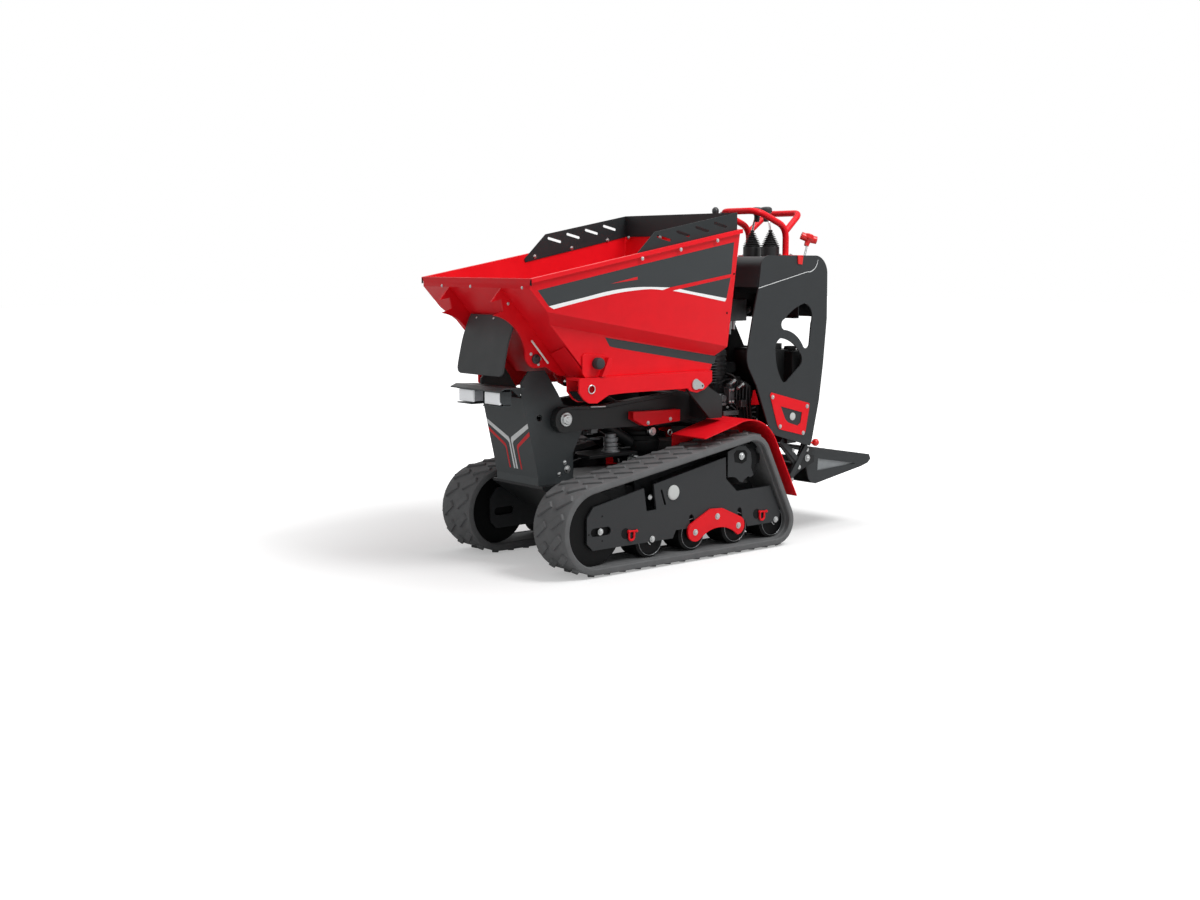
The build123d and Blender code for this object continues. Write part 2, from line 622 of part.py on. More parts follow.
with BuildPart() as panel_trims:
    for _, sign in SIDES:
        with BuildSketch(side(sign * (PANEL_INNER + PANEL_THICKNESS + 2 * FACE_GAP + TRIM_SHEET))):
            with BuildLine():
                Polyline((-443, 580), (-450, 590), (-663, 536), (-661, 511), (-643, 425), (-630, 413),
                         (-494, 446), (-484, 464), close=True)
            make_face()
            with BuildLine():
                Polyline((-502, 534), (-622, 503), (-614, 462), (-598, 452), (-545, 468), (-528, 482),
                         close=True)
            make_face(mode=Mode.SUBTRACT)
        extrude(amount=sign * TRIM_SHEET)
save(panel_trims, "panel_trims")

with BuildPart() as console_box:
    with BuildSketch(side(PANEL_INNER)):
        with BuildLine():
            Polyline((-385, 870), (-392, 1055), (-408, 1090), (-435, DASH_TOP), (-742, DASH_TOP),
                     (-753, 1092), (-753, 870), close=True)
        make_face()
        with BuildLine():
            Polyline((-389, 870), (-396, 1053), (-411, 1087), (-436, DASH_TOP - DASH_SHEET),
                     (-740, DASH_TOP - DASH_SHEET), (-749, 1090), (-749, 870), close=True)
        make_face(mode=Mode.SUBTRACT)
    extrude(amount=2 * PANEL_INNER)
save(console_box, "console_box")


def tube(places, radius, bend):
    """Add a round tube in the open part: straight runs between places, with a ball or a bend at each turn.

    Args:
        places: points (forward, left, up) that the tube's middle line goes through.
        radius: outer radius of the tube.
        bend: radius of the bends, measured at the tube's middle line.
    """
    points = [Vector(DATUM_X + x, y, z) for x, y, z in places]
    start = points[0]
    for before, corner, after in zip(points, points[1:], points[2:]):
        arrive = (corner - before).normalized()
        leave = (after - corner).normalized()
        turn = radians(arrive.get_angle(leave))
        trim = bend * tan(turn / 2)
        arc_start = corner - arrive * trim
        with BuildSketch(Plane(origin=start, z_dir=arrive)) as run:
            Circle(radius)
        extrude(run.sketch, amount=(arc_start - start).length)
        normal = arrive.cross(leave).normalized()
        centre = arc_start + normal.cross(arrive) * bend
        with BuildSketch(Plane(origin=arc_start, z_dir=arrive)) as ring:
            Circle(radius)
        revolve(ring.sketch, axis=Axis(centre, normal), revolution_arc=degrees(turn))
        start = corner + leave * trim
    with BuildSketch(Plane(origin=start, z_dir=points[-1] - start)) as run:
        Circle(radius)
    extrude(run.sketch, amount=(points[-1] - start).length)


with BuildPart() as handlebar:
    for _, sign in SIDES:
        tube(((POST_X, sign * POST_Y, DASH_TOP + FACE_GAP), (POST_X, sign * POST_Y, POST_TOP),
              (RAIL_BEND_X, sign * POST_Y, RAIL_Z), (HOOP_FRONT_X, sign * POST_Y, RAIL_Z),
              (HOOP_FRONT_X, 0, RAIL_Z)), BAR_RADIUS, HOOP_BEND)
        tube(((POST_X, sign * POST_Y, FORK_Z), (GRAB_X, sign * GRAB_Y, GRAB_Z), (GRAB_X, 0, GRAB_Z)),
             BAR_RADIUS, GRAB_BEND)
        with BuildSketch(top(DASH_TOP + FACE_GAP)):
            with Locations((POST_X, sign * POST_Y)):
                Rectangle(2 * BAR_RADIUS, FOOT_WIDTH)
        extrude(amount=FOOT_PLATE)
save(handlebar, "handlebar")

with BuildPart() as lever_boots:
    for _, sign in SIDES:
        with BuildSketch(top(DASH_TOP + FACE_GAP)):
            with Locations((LEVER_X, sign * LEVER_Y)):
                Circle(BOOT_RADIUS)
        extrude(amount=BOOT_COLLAR)
        with Locations((DATUM_X + LEVER_X, sign * LEVER_Y,
                        DASH_TOP + FACE_GAP + BOOT_COLLAR + BOOT_CONE / 2)):
            Cone(BOOT_RADIUS, BOOT_TIP_RADIUS, BOOT_CONE)
save(lever_boots, "lever_boots")

BOOT_TOP = DASH_TOP + FACE_GAP + BOOT_COLLAR + BOOT_CONE
with BuildPart() as levers:
    for _, sign in SIDES:
        foot = Vector(DATUM_X + LEVER_X, sign * LEVER_Y, BOOT_TOP + LEVER_GAP)
        knob = Vector(foot.X, foot.Y - sign * KNOB_SHIFT, KNOB_Z)
        with BuildSketch(Plane(origin=foot, z_dir=knob - foot)):
            Circle(LEVER_RADIUS)
        extrude(amount=(knob - foot).length)
        with Locations(knob + Vector(0, 0, KNOB_HEIGHT / 2 - LEVER_RADIUS)):
            Cylinder(KNOB_RADIUS, KNOB_HEIGHT)
save(levers, "levers")

with BuildPart() as platform_bracket:
    for _, sign in SIDES:
        with BuildSketch(side(sign * BRACKET_OUTER)):
            with BuildLine():
                Polyline((-524, DECK_TOP - FACE_GAP), (-556, DECK_TOP - FACE_GAP), (-630, 325),
                         (-660, 384), (-684, 384), (-690, 330), (-726, 322), (-726, 296), (-650, 270),
                         (-600, 240), (-576, 250), (-606, 300), close=True)
            make_face()
        extrude(amount=sign * BRACKET_PLATE)
        with BuildSketch(side(sign * (BRACKET_OUTER - BRACKET_PLATE))):
            with Locations(PLATFORM_PIVOT):
                Circle(HINGE_PIN_RADIUS)
        extrude(amount=sign * HINGE_PIN_LENGTH)
    with BuildSketch(side(BRACKET_OUTER - BRACKET_PLATE)):
        with Locations(BRACKET_TUBE):
            Circle(BRACKET_TUBE_RADIUS)
    extrude(amount=2 * (BRACKET_OUTER - BRACKET_PLATE))
save(platform_bracket, "platform_bracket")

with BuildPart() as platform:
    px, pz = PLATFORM_PIVOT
    tail_x = px - PLATFORM_LENGTH
    for _, sign in SIDES:
        with BuildSketch(side(sign * PLATFORM_HALF_WIDTH)):
            with BuildLine():
                Polyline((px - 9, pz + 43), (tail_x + 9, pz - 15), (tail_x, pz - 35),
                         (tail_x + 17, pz - 50), (tail_x + 58, pz - 61), (px - 47, pz - 107),
                         (px - 21, pz - 101), (px - 5, pz - 80), (px + 14, pz - 20), (px + 14, pz + 20),
                         close=True)
            make_face()
            with BuildLine():
                Polyline((px - 60, pz - 7), (tail_x + 91, pz - 46), (px - 57, pz - 56), close=True)
            make_face(mode=Mode.SUBTRACT)
            with Locations(PLATFORM_PIVOT):
                Circle(HINGE_PIN_RADIUS + PIN_GAP, mode=Mode.SUBTRACT)
        extrude(amount=sign * PLATFORM_PLATE)
    with BuildSketch(side(PLATFORM_HALF_WIDTH - PLATFORM_PLATE)):
        with BuildLine():
            Polyline((px - 9, pz + 43), (tail_x + 9, pz - 15), (tail_x, pz - 35), (tail_x + 5, pz - 38),
                     (tail_x + 14, pz - 20), (px - 9, pz + 38), close=True)
        make_face()
        with BuildLine():
            Polyline((tail_x + 58, pz - 61), (px - 47, pz - 107), (px - 47, pz - 102),
                     (tail_x + 58, pz - 56), close=True)
        make_face()
    extrude(amount=2 * (PLATFORM_HALF_WIDTH - PLATFORM_PLATE))
save(platform, "platform")

# ---------------------------------------------------------------- skip
with BuildPart() as skip_tub:
    with BuildSketch(side(SKIP_HALF_WIDTH)):
        with BuildLine():
            Polyline((FLOOR_REAR_X, FLOOR_Z), (FLOOR_FRONT_X, FLOOR_Z), (LIP_X, LIP_Z - LIP_HEIGHT),
                     (LIP_X, LIP_Z), (REAR_TOP_X, REAR_TOP_Z), (-208, 772), (-182, 742), close=True)
        make_face()
    extrude(amount=2 * SKIP_HALF_WIDTH)
    for _, sign in SIDES:
        with BuildSketch(front(FOLD_START_X)):
            with BuildLine():
                Polyline((sign * SKIP_FLOOR_HALF_WIDTH, FLOOR_Z - 3 * SKIP_SIDE_STEP),
                         (sign * SKIP_FLOOR_HALF_WIDTH, FOLD_LOWER_Z + FOLD_SLOPE * FOLD_START_X),
                         (sign * SKIP_HALF_WIDTH, FOLD_UPPER_Z + FOLD_SLOPE * FOLD_START_X),
                         (sign * (SKIP_HALF_WIDTH + SKIP_SIDE_STEP), FOLD_UPPER_Z + FOLD_SLOPE * FOLD_START_X),
                         (sign * (SKIP_HALF_WIDTH + SKIP_SIDE_STEP), FLOOR_Z - 3 * SKIP_SIDE_STEP),
                         close=True)
            make_face()
        extrude(amount=FOLD_START_X - REAR_TOP_X + 3 * SKIP_SIDE_STEP, dir=(-1, 0, -FOLD_SLOPE),
                mode=Mode.SUBTRACT)
    rim_face = skip_tub.faces().sort_by(Axis.Z)[-1]
    offset(amount=-SKIP_WALL, openings=rim_face)
    for _, sign in SIDES:
        with BuildSketch(side(sign * (SKIP_HALF_WIDTH + RIM_WIDTH))):
            with BuildLine():
                Polyline((LIP_X, LIP_Z), (REAR_TOP_X, REAR_TOP_Z), (REAR_TOP_X, REAR_TOP_Z - RIM_HEIGHT),
                         (LIP_X, LIP_Z - RIM_HEIGHT), close=True)
            make_face()
        extrude(amount=sign * RIM_WIDTH)
save(skip_tub, "skip_tub")

with BuildPart() as skip_rails:
    for _, sign in SIDES:
        with BuildSketch(side(sign * RAIL_OUTER)):
            with BuildLine():
                Polyline((478, FLOOR_Z), (478, 640), (455, 613), (433, 601), (399, 599), (347, 625),
                         (268, 628), (-28, 628), (-41, 617), (-72, 610), (-111, 620), (-149, 648),
                         (-149, FLOOR_Z), close=True)
            make_face()
            with Locations(BUSH_PLACE):
                Circle(BUSH_RADIUS, mode=Mode.SUBTRACT)
            with Locations(SKIP_PIVOT):
                Circle(PIN_RADIUS + PIN_GAP, mode=Mode.SUBTRACT)
        extrude(amount=sign * (RAIL_OUTER - RAIL_INNER))
        with BuildSketch(side(sign * (RAIL_OUTER - RAIL_WALL))):
            with BuildLine():
                Polyline((500, FLOOR_Z - RAIL_WALL), (500, 560), (-170, 560), (-170, FLOOR_Z - RAIL_WALL),
                         close=True)
            make_face()
        extrude(amount=sign * (RAIL_OUTER - RAIL_INNER - 2 * RAIL_WALL), mode=Mode.SUBTRACT)
save(skip_rails, "skip_rails")

with BuildPart() as skip_ribs:
    for _, sign in SIDES:
        with BuildSketch(side(sign * (RIB_Y + RIB_PLATE / 2))):
            with BuildLine():
                Polyline((LIP_X, LIP_Z - LIP_HEIGHT), (RIB_NOSE_X, 952), (700, 960), (692, 921), (733, 906))
                ThreePointArc((733, 906), (645, 864), (600, 777))
                ThreePointArc((600, 777), (589, 736), (555, 720))
                Polyline((555, 720), (513, 723), (450, FLOOR_Z), (FLOOR_FRONT_X, FLOOR_Z),
                         (LIP_X, LIP_Z - LIP_HEIGHT))
            make_face()
        extrude(amount=sign * RIB_PLATE)
    for _, sign in SIDES:
        with BuildSketch(side(sign * (LUG_PLATE + EYE_WIDTH / 2 + FACE_GAP))):
            with BuildLine():
                Polyline((220, FLOOR_Z), (250, 645), (TIP_EYE[0], 630), (310, 645), (340, FLOOR_Z),
                         close=True)
            make_face()
            with Locations(TIP_EYE):
                Circle(PIN_RADIUS, mode=Mode.SUBTRACT)
        extrude(amount=sign * LUG_PLATE)
save(skip_ribs, "skip_ribs")

with BuildPart() as rubber_flap:
    with BuildSketch(side(FLAP_HALF_WIDTH)):
        with BuildLine():
            flap_line = ThreePointArc((612.6, 902), (659, 803), (678, 694))
            offset(flap_line, amount=FLAP_SHEET, side=Side.LEFT)
        make_face()
    extrude(amount=2 * FLAP_HALF_WIDTH)
save(rubber_flap, "rubber_flap")

GUARD_SIDE_Y = SKIP_HALF_WIDTH - SKIP_WALL - FACE_GAP
with BuildPart() as spill_guards:
    for _, sign in SIDES:
        with BuildSketch(side(sign * GUARD_SIDE_Y)):
            with BuildLine():
                Polyline((245, GUARD_TOP - 205), (250, GUARD_TOP - 170), (148, GUARD_TOP - 75),
                         (GUARD_REAR_X, GUARD_TOP), (GUARD_REAR_X, GUARD_TOP - GUARD_DEPTH), close=True)
            make_face()
            for index in range(GUARD_SLOTS):
                with Locations((GUARD_SLOT_X - index * GUARD_SLOT_PITCH,
                                GUARD_TOP - GUARD_SLOT_DROP + index * GUARD_SLOT_RISE)):
                    SlotOverall(GUARD_SLOT_LENGTH, GUARD_SLOT_WIDTH, rotation=GUARD_SLOT_TURN,
                                mode=Mode.SUBTRACT)
        extrude(amount=sign * GUARD_SHEET)
    with BuildSketch(front(GUARD_REAR_X)):
        with Locations((0, GUARD_TOP - GUARD_DEPTH / 2)):
            Rectangle(2 * (GUARD_SIDE_Y - GUARD_SHEET), GUARD_DEPTH)
    extrude(amount=GUARD_SHEET)
save(spill_guards, "spill_guards")

with BuildPart() as skip_bumpers:
    bumper_plate_y = SKIP_FLOOR_HALF_WIDTH + BUMPER_PLATE + FACE_GAP
    for _, sign in SIDES:
        with BuildSketch(side(sign * bumper_plate_y)):
            with BuildLine():
                Polyline((342, FLOOR_Z), (412, FLOOR_Z), (424, 716), (412, 764), (358, 770), (342, 730),
                         close=True)
            make_face()
        extrude(amount=sign * BUMPER_PLATE)
        with BuildSketch(side(sign * (bumper_plate_y + BUMPER_LENGTH))):
            with Locations(BUMPER_PLACE):
                Circle(BUMPER_RADIUS)
        extrude(amount=sign * BUMPER_LENGTH)
save(skip_bumpers, "skip_bumpers")

with BuildPart() as skip_pins:
    for _, sign in SIDES:
        with BuildSketch(side(sign * (RAIL_OUTER + KEEPER_PLATE + FACE_GAP))):
            with Locations(SKIP_PIVOT):
                Circle(KEEPER_RADIUS)
            with Locations((SKIP_PIVOT[0] - KEEPER_REACH, SKIP_PIVOT[1] - KEEPER_DROP)):
                Circle(KEEPER_TIP_RADIUS)
            make_hull()
        extrude(amount=sign * KEEPER_PLATE)
        with BuildSketch(side(sign * (RAIL_OUTER + FACE_GAP))):
            with Locations(SKIP_PIVOT):
                Circle(PIN_RADIUS)
        extrude(amount=sign * (RAIL_OUTER - RAIL_INNER + 2 * FACE_GAP))
save(skip_pins, "skip_pins")

# ---------------------------------------------------------------- lift arms
EAR_Y = (RAIL_INNER + RAIL_OUTER) / 2
with BuildPart() as lift_arms:
    for _, sign in SIDES:
        with BuildSketch(side(sign * (ARM_INNER + ARM_THICKNESS))):
            with BuildLine():
                Polyline((424, 484), (335, 490), (-32, 483), (-298, 500), (-304, 553), (-270, 612),
                         (-131, 605), (121, 584), (260, 572), (424, 575), close=True)
            make_face()
            with Locations((ARM_PIVOT[0], ARM_PIVOT[1] - ARM_BOSS_DROP)):
                Circle(ARM_BOSS_RADIUS)
            with Locations(ARM_PIVOT):
                Circle(PIN_RADIUS + PIN_GAP, mode=Mode.SUBTRACT)
        extrude(amount=sign * ARM_THICKNESS)
        with BuildSketch(side(sign * (EAR_Y + LUG_PLATE / 2))):
            with BuildLine():
                Polyline((-230, 505), (-170, 505), (-60, 612), (-48, 642), (-60, 664), (-90, 664),
                         (-230, 585), close=True)
            make_face()
            with Locations(SKIP_PIVOT):
                Circle(PIN_RADIUS + PIN_GAP, mode=Mode.SUBTRACT)
        extrude(amount=sign * LUG_PLATE)
    with BuildSketch(side(EAR_Y + LUG_PLATE / 2)):
        with Locations((CROSS_BEAM_X, CROSS_BEAM_Z)):
            Rectangle(CROSS_BEAM_LENGTH, CROSS_BEAM_HEIGHT)
    extrude(amount=2 * (EAR_Y + LUG_PLATE / 2))
    with BuildSketch(side(ARM_INNER)):
        with Locations(TIP_BASE):
            Circle(PIN_RADIUS)
    extrude(amount=2 * ARM_INNER)
    for _, sign in SIDES:
        with BuildSketch(side(sign * ARM_INNER)):
            with Locations(LIFT_EYE):
                Circle(PIN_RADIUS)
        extrude(amount=sign * (ARM_INNER - LIFT_CYLINDER_Y - EYE_WIDTH / 2 - FACE_GAP))
save(lift_arms, "lift_arms")

with BuildPart() as arm_pins:
    with BuildSketch(side(ARM_INNER + ARM_THICKNESS + ARM_PIN_REACH)):
        with Locations(ARM_PIVOT):
            Circle(PIN_RADIUS)
    extrude(amount=2 * (ARM_INNER + ARM_THICKNESS + ARM_PIN_REACH))
save(arm_pins, "arm_pins")

with BuildPart() as arm_brackets:
    bracket_face_y = ARM_INNER + ARM_THICKNESS + FACE_GAP + CHANNEL_WIDTH
    for _, sign in SIDES:
        with BuildSketch(side(sign * bracket_face_y)):
            with BuildLine():
                Polyline((134, 515), (134, 543), (-96, 538), (-96, 495), (78, 487), close=True)
            make_face()
        extrude(amount=sign * CHANNEL_WIDTH)
        with BuildSketch(side(sign * (bracket_face_y - CHANNEL_SHEET))):
            with BuildLine():
                Polyline((140, 480), (140, 543 - CHANNEL_SHEET), (-92, 538 - CHANNEL_SHEET), (-92, 480),
                         close=True)
            make_face()
        extrude(amount=sign * (CHANNEL_WIDTH - 2 * CHANNEL_SHEET), mode=Mode.SUBTRACT)
save(arm_brackets, "arm_brackets")


def aim(start, end):
    """Angle in degrees above the forward direction from one pivot to another."""
    return degrees(atan2(end[1] - start[1], end[0] - start[0]))


def along(start, end, y):
    """Plane square to a cylinder's axis at its base pivot, with +extrude towards its rod's eye."""
    angle = radians(aim(start, end))
    return Plane(origin=(DATUM_X + start[0], y, start[1]), x_dir=(0, 1, 0),
                 z_dir=(cos(angle), 0, sin(angle)))


# label, base pivot, rod's eye pivot, cylinder centres across the machine, barrel length
CYLINDERS = (
    ("lift", LIFT_BASE, LIFT_EYE, (LIFT_CYLINDER_Y, -LIFT_CYLINDER_Y), 330),
    ("tip", TIP_BASE, TIP_EYE, (0,), 200),
)
for label, base, eye, rows, barrel_length in CYLINDERS:
    reach = hypot(eye[0] - base[0], eye[1] - base[1])
    with BuildPart() as barrel:
        for y in rows:
            with BuildSketch(side(y + EYE_WIDTH / 2)):
                with Locations(base):
                    Circle(EYE_RADIUS + BARREL_WALL)
            extrude(amount=EYE_WIDTH)
            with BuildSketch(along(base, eye, y)):
                Circle(BARREL_RADIUS)
            extrude(amount=barrel_length)
            with BuildSketch(side(y + 2 * BARREL_RADIUS)):
                with Locations(base):
                    Circle(PIN_RADIUS + PIN_GAP)
            extrude(amount=4 * BARREL_RADIUS, mode=Mode.SUBTRACT)
            with BuildSketch(along(base, eye, y).offset(EYE_RADIUS + BORE_START)):
                Circle(ROD_RADIUS + PIN_GAP)
            extrude(amount=barrel_length, mode=Mode.SUBTRACT)
    save(barrel, f"{label}_barrel")

    with BuildPart() as rod:
        for y in rows:
            with BuildSketch(side(y + EYE_WIDTH / 2)):
                with Locations(eye):
                    Circle(EYE_RADIUS)
            extrude(amount=EYE_WIDTH)
            with BuildSketch(along(base, eye, y).offset(EYE_RADIUS + ROD_START)):
                Circle(ROD_RADIUS)
            extrude(amount=reach - EYE_RADIUS - ROD_START)
    save(rod, f"{label}_rod")

with BuildPart() as lift_pins:
    pin_reach = LIFT_CYLINDER_Y + BARREL_RADIUS + BRACKET_LUG + BARREL_WALL
    with BuildSketch(side(pin_reach)):
        with Locations(LIFT_BASE):
            Circle(PIN_RADIUS)
    extrude(amount=2 * pin_reach)
    for _, sign in SIDES:
        for outer in (LIFT_CYLINDER_Y - BARREL_RADIUS - 1,
                      LIFT_CYLINDER_Y + BARREL_RADIUS + BRACKET_LUG + 1):
            with BuildSketch(side(sign * outer)):
                with Locations((LIFT_BASE[0], (LIFT_BASE[1] + CHASSIS_TOP) / 2)):
                    Rectangle(2 * BRACKET_EDGE, LIFT_BASE[1] - CHASSIS_TOP)
                with Locations(LIFT_BASE):
                    Circle(BRACKET_EDGE)
            extrude(amount=sign * BRACKET_LUG)
save(lift_pins, "lift_pins")
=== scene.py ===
"""Looks of the tracked site dumper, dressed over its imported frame.

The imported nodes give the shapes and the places.  This script gives them finishes, adds the small
pieces that the frame leaves out, and stages the machine on a pale studio floor.  Side-view places
are in millimetres: forward of the middle of the track's ground contact, to the left, and up.
"""
import json
import logging
import math
from dataclasses import dataclass, replace
from enum import Enum
from typing import Iterable, Sequence

import bmesh
import bpy
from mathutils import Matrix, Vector


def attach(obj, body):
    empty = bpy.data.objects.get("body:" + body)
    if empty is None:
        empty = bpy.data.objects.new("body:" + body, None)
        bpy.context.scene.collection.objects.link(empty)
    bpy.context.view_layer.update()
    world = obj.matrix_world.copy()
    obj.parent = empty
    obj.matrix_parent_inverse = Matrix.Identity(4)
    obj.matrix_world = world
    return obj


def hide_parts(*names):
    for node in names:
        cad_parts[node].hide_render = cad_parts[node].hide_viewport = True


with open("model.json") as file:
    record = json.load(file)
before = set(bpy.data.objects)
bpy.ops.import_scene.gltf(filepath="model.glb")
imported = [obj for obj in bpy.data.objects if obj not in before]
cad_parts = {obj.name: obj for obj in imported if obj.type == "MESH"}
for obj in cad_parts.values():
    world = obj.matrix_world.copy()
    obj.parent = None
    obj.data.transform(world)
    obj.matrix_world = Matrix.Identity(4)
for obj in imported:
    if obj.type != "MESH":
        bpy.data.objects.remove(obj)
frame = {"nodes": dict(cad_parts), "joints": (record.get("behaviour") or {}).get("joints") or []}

MM = 0.001
SIDES = (1, -1)
NAMED_SIDES = tuple(zip(SIDES, ("left", "right")))
UP = Vector((0, 0, 1))
LEFT = Vector((0, 1, 0))
MERGE_MM = 0.01
FLAT_DEGREES = 0.6
SMOOTH_DEGREES = 35
LOG = logging.getLogger("dumper")
Point = tuple[float, float]

LIFT_PIVOT_FORWARD = 424
PIVOTS = {joint["name"]: joint["pos_m"] for joint in frame["joints"] if "pos_m" in joint}
DATUM = PIVOTS["lift_hinge"][0] - LIFT_PIVOT_FORWARD * MM


def at(forward: float, left: float, up: float) -> Vector:
    """Place in the shared frame of a side-view position in millimetres."""
    return Vector((DATUM + forward * MM, left * MM, up * MM))


def outward(sign: int) -> Vector:
    """Direction away from the middle plane, to the left for 1 and to the right for -1."""
    return Vector((0, sign, 0))


def to_linear(hex_colour: str) -> tuple[float, float, float, float]:
    """Linear RGBA of an sRGB hex colour such as #D9141E.

    Args:
        hex_colour: the colour, with a hash sign.
    Returns:
        Red, green, blue and an alpha of 1.
    """
    values = [int(hex_colour[i:i + 2], 16) / 255 for i in (1, 3, 5)]
    linear = [v / 12.92 if v <= 0.04045 else ((v + 0.055) / 1.055) ** 2.4 for v in values]
    return (*linear, 1.0)


def add_node(tree: bpy.types.NodeTree, kind: str, inputs: dict | None = None, **settings) -> bpy.types.Node:
    """Add a node to a tree, with its settings and its inputs' values or links.

    Args:
        tree: the tree that gets the node.
        kind: the node's type name.
        inputs: value, or output socket to link, by the input's name or number.
        settings: the node's own properties.
    Returns:
        The new node.
    """
    node = tree.nodes.new(kind)
    for name, value in settings.items():
        setattr(node, name, value)
    for name, value in (inputs or {}).items():
        if isinstance(value, bpy.types.NodeSocket):
            tree.links.new(value, node.inputs[name])
        else:
            node.inputs[name].default_value = value
    return node


# ---------------------------------------------------------------- finishes
class Relief(Enum):
    """How a surface was made, which sets the pattern of its fine relief."""

    SPRAYED = "orange peel of a sprayed or powder coat"
    MOULDED = "fine pits of a moulded rubber or plastic"
    BRUSHED = "long fine scratches of a brushed or turned metal"
    CAST = "coarse pebbling of sand-cast metal"
    SMOOTH = "nothing but slight waviness, as on film or glass"


@dataclass(frozen=True)
class Finish:
    """One finish: a base colour with slight variation, a gloss, and the relief of how it was made.

    Attributes:
        name: the material's name.
        slot: the record's material slot.
        colour: base colour as sRGB hex.
        roughness: mean roughness.
        relief: pattern of the fine relief.
        relief_mm: size of one grain of the relief.
        depth_mm: height of the relief.
        metallic: 1 for bare metal.
        coat: strength of a clear top layer.
        mottle: share by which the colour darkens in soft patches.
        mottle_mm: size of those patches.
        edge_mm: radius that softens sharp edges.
        glow: light given off, for lamp lenses.
        specular: strength of the mirror-like part, 0.5 for a bare dielectric or metal.
    """

    name: str
    slot: str
    colour: str
    roughness: float
    relief: Relief
    relief_mm: float = 1.5
    depth_mm: float = 0.03
    metallic: float = 0.0
    coat: float = 0.0
    mottle: float = 0.08
    mottle_mm: float = 70.0
    edge_mm: float = 1.0
    glow: float = 0.0
    specular: float = 0.5

    def build(self) -> bpy.types.Material:
        """Build the material once, and return it on later calls too.

        Returns:
            The material.
        """
        known = bpy.data.materials.get(self.name)
        if known:
            return known
        material = bpy.data.materials.new(self.name)
        material.use_nodes = True
        tree = material.node_tree
        tree.nodes.clear()
        place = add_node(tree, "ShaderNodeTexCoord").outputs["Object"]
        patches = add_node(tree, "ShaderNodeTexNoise", {
            "Vector": place, "Scale": 1 / (self.mottle_mm * MM), "Detail": 4.0, "Roughness": 0.6})
        shade = add_node(tree, "ShaderNodeMapRange", {
            "Value": patches.outputs["Fac"], "From Min": 0.3, "From Max": 0.7,
            "To Min": 1.0 - self.mottle, "To Max": 1.0})
        colour = add_node(tree, "ShaderNodeMix", {
            "Factor": 1.0, "A": to_linear(self.colour), "B": shade.outputs["Result"]},
            data_type="RGBA", blend_type="MULTIPLY")
        gloss = add_node(tree, "ShaderNodeMapRange", {
            "Value": patches.outputs["Fac"], "From Min": 0.3, "From Max": 0.7,
            "To Min": self.roughness * 0.88, "To Max": min(1.0, self.roughness * 1.12)})
        soft_edge = add_node(tree, "ShaderNodeBevel", {"Radius": self.edge_mm * MM}, samples=4)
        bump = add_node(tree, "ShaderNodeBump", {
            "Height": self.height(tree, place), "Strength": 0.6, "Distance": self.depth_mm * MM,
            "Normal": soft_edge.outputs["Normal"]})
        shader = add_node(tree, "ShaderNodeBsdfPrincipled", {
            "Base Color": colour.outputs["Result"], "Roughness": gloss.outputs["Result"],
            "Metallic": self.metallic, "Coat Weight": self.coat, "Coat Roughness": 0.12,
            "Specular IOR Level": self.specular,
            "Normal": bump.outputs["Normal"]})
        if self.glow:
            shader.inputs["Emission Color"].default_value = to_linear(self.colour)
            shader.inputs["Emission Strength"].default_value = self.glow
        add_node(tree, "ShaderNodeOutputMaterial", {"Surface": shader.outputs["BSDF"]})
        return material

    def height(self, tree: bpy.types.NodeTree, place: bpy.types.NodeSocket) -> bpy.types.NodeSocket:
        """Add the relief's pattern to the tree.

        Args:
            tree: the material's tree.
            place: output socket with the object coordinates.
        Returns:
            The socket that carries the height.
        """
        scale = 1 / (self.relief_mm * MM)
        if self.relief is Relief.BRUSHED:
            stretched = add_node(tree, "ShaderNodeMapping", {"Vector": place, "Scale": (0.04, 1.0, 1.0)})
            return add_node(tree, "ShaderNodeTexNoise", {
                "Vector": stretched.outputs["Vector"], "Scale": scale, "Detail": 3.0}).outputs["Fac"]
        if self.relief is Relief.CAST:
            return add_node(tree, "ShaderNodeTexVoronoi", {
                "Vector": place, "Scale": scale}, feature="SMOOTH_F1").outputs["Distance"]
        detail = {Relief.SPRAYED: 1.0, Relief.MOULDED: 5.0, Relief.SMOOTH: 0.0}[self.relief]
        return add_node(tree, "ShaderNodeTexNoise", {
            "Vector": place, "Scale": scale, "Detail": detail, "Roughness": 0.7}).outputs["Fac"]


# polyester powder coat on steel: glossy, with a faint orange peel that breaks up its highlights
RED_COAT = Finish("red_powder_coat", "red_paint", "#EA1220", 0.4, Relief.SPRAYED, 2.2, 0.03, specular=0.22)
# fine-texture powder coat: satin, so broad faces stay even and edges catch a thin light line
PANEL_COAT = Finish("graphite_powder_coat", "dark_paint", "#2A2D2F", 0.46, Relief.SPRAYED, 1.4, 0.04,
                    specular=0.35)
TOWER_COAT = replace(PANEL_COAT, name="slate_powder_coat", colour="#393E40", roughness=0.42)
ARM_COAT = replace(PANEL_COAT, name="charcoal_powder_coat", colour="#212324")
GUARD_COAT = replace(PANEL_COAT, name="blue_black_powder_coat", slot="guard_paint", colour="#212628",
                     roughness=0.5, specular=0.3)
# brushed-on black chassis enamel: darker and a little uneven
FRAME_COAT = Finish("black_chassis_enamel", "black_paint", "#121416", 0.5, Relief.SPRAYED, 2.5, 0.05,
                    mottle=0.2, specular=0.35)
PLATE_COAT = replace(PANEL_COAT, name="graphite_frame_coat", slot="black_paint", colour="#292B2D",
                     roughness=0.48)
# carbon-black natural rubber, moulded: dull, slightly dusty grey with fine pits
BELT_RUBBER = Finish("moulded_belt_rubber", "track_rubber", "#68696A", 0.8, Relief.MOULDED, 1.2, 0.12,
                     mottle=0.22, mottle_mm=45, edge_mm=2.5, specular=0.3)
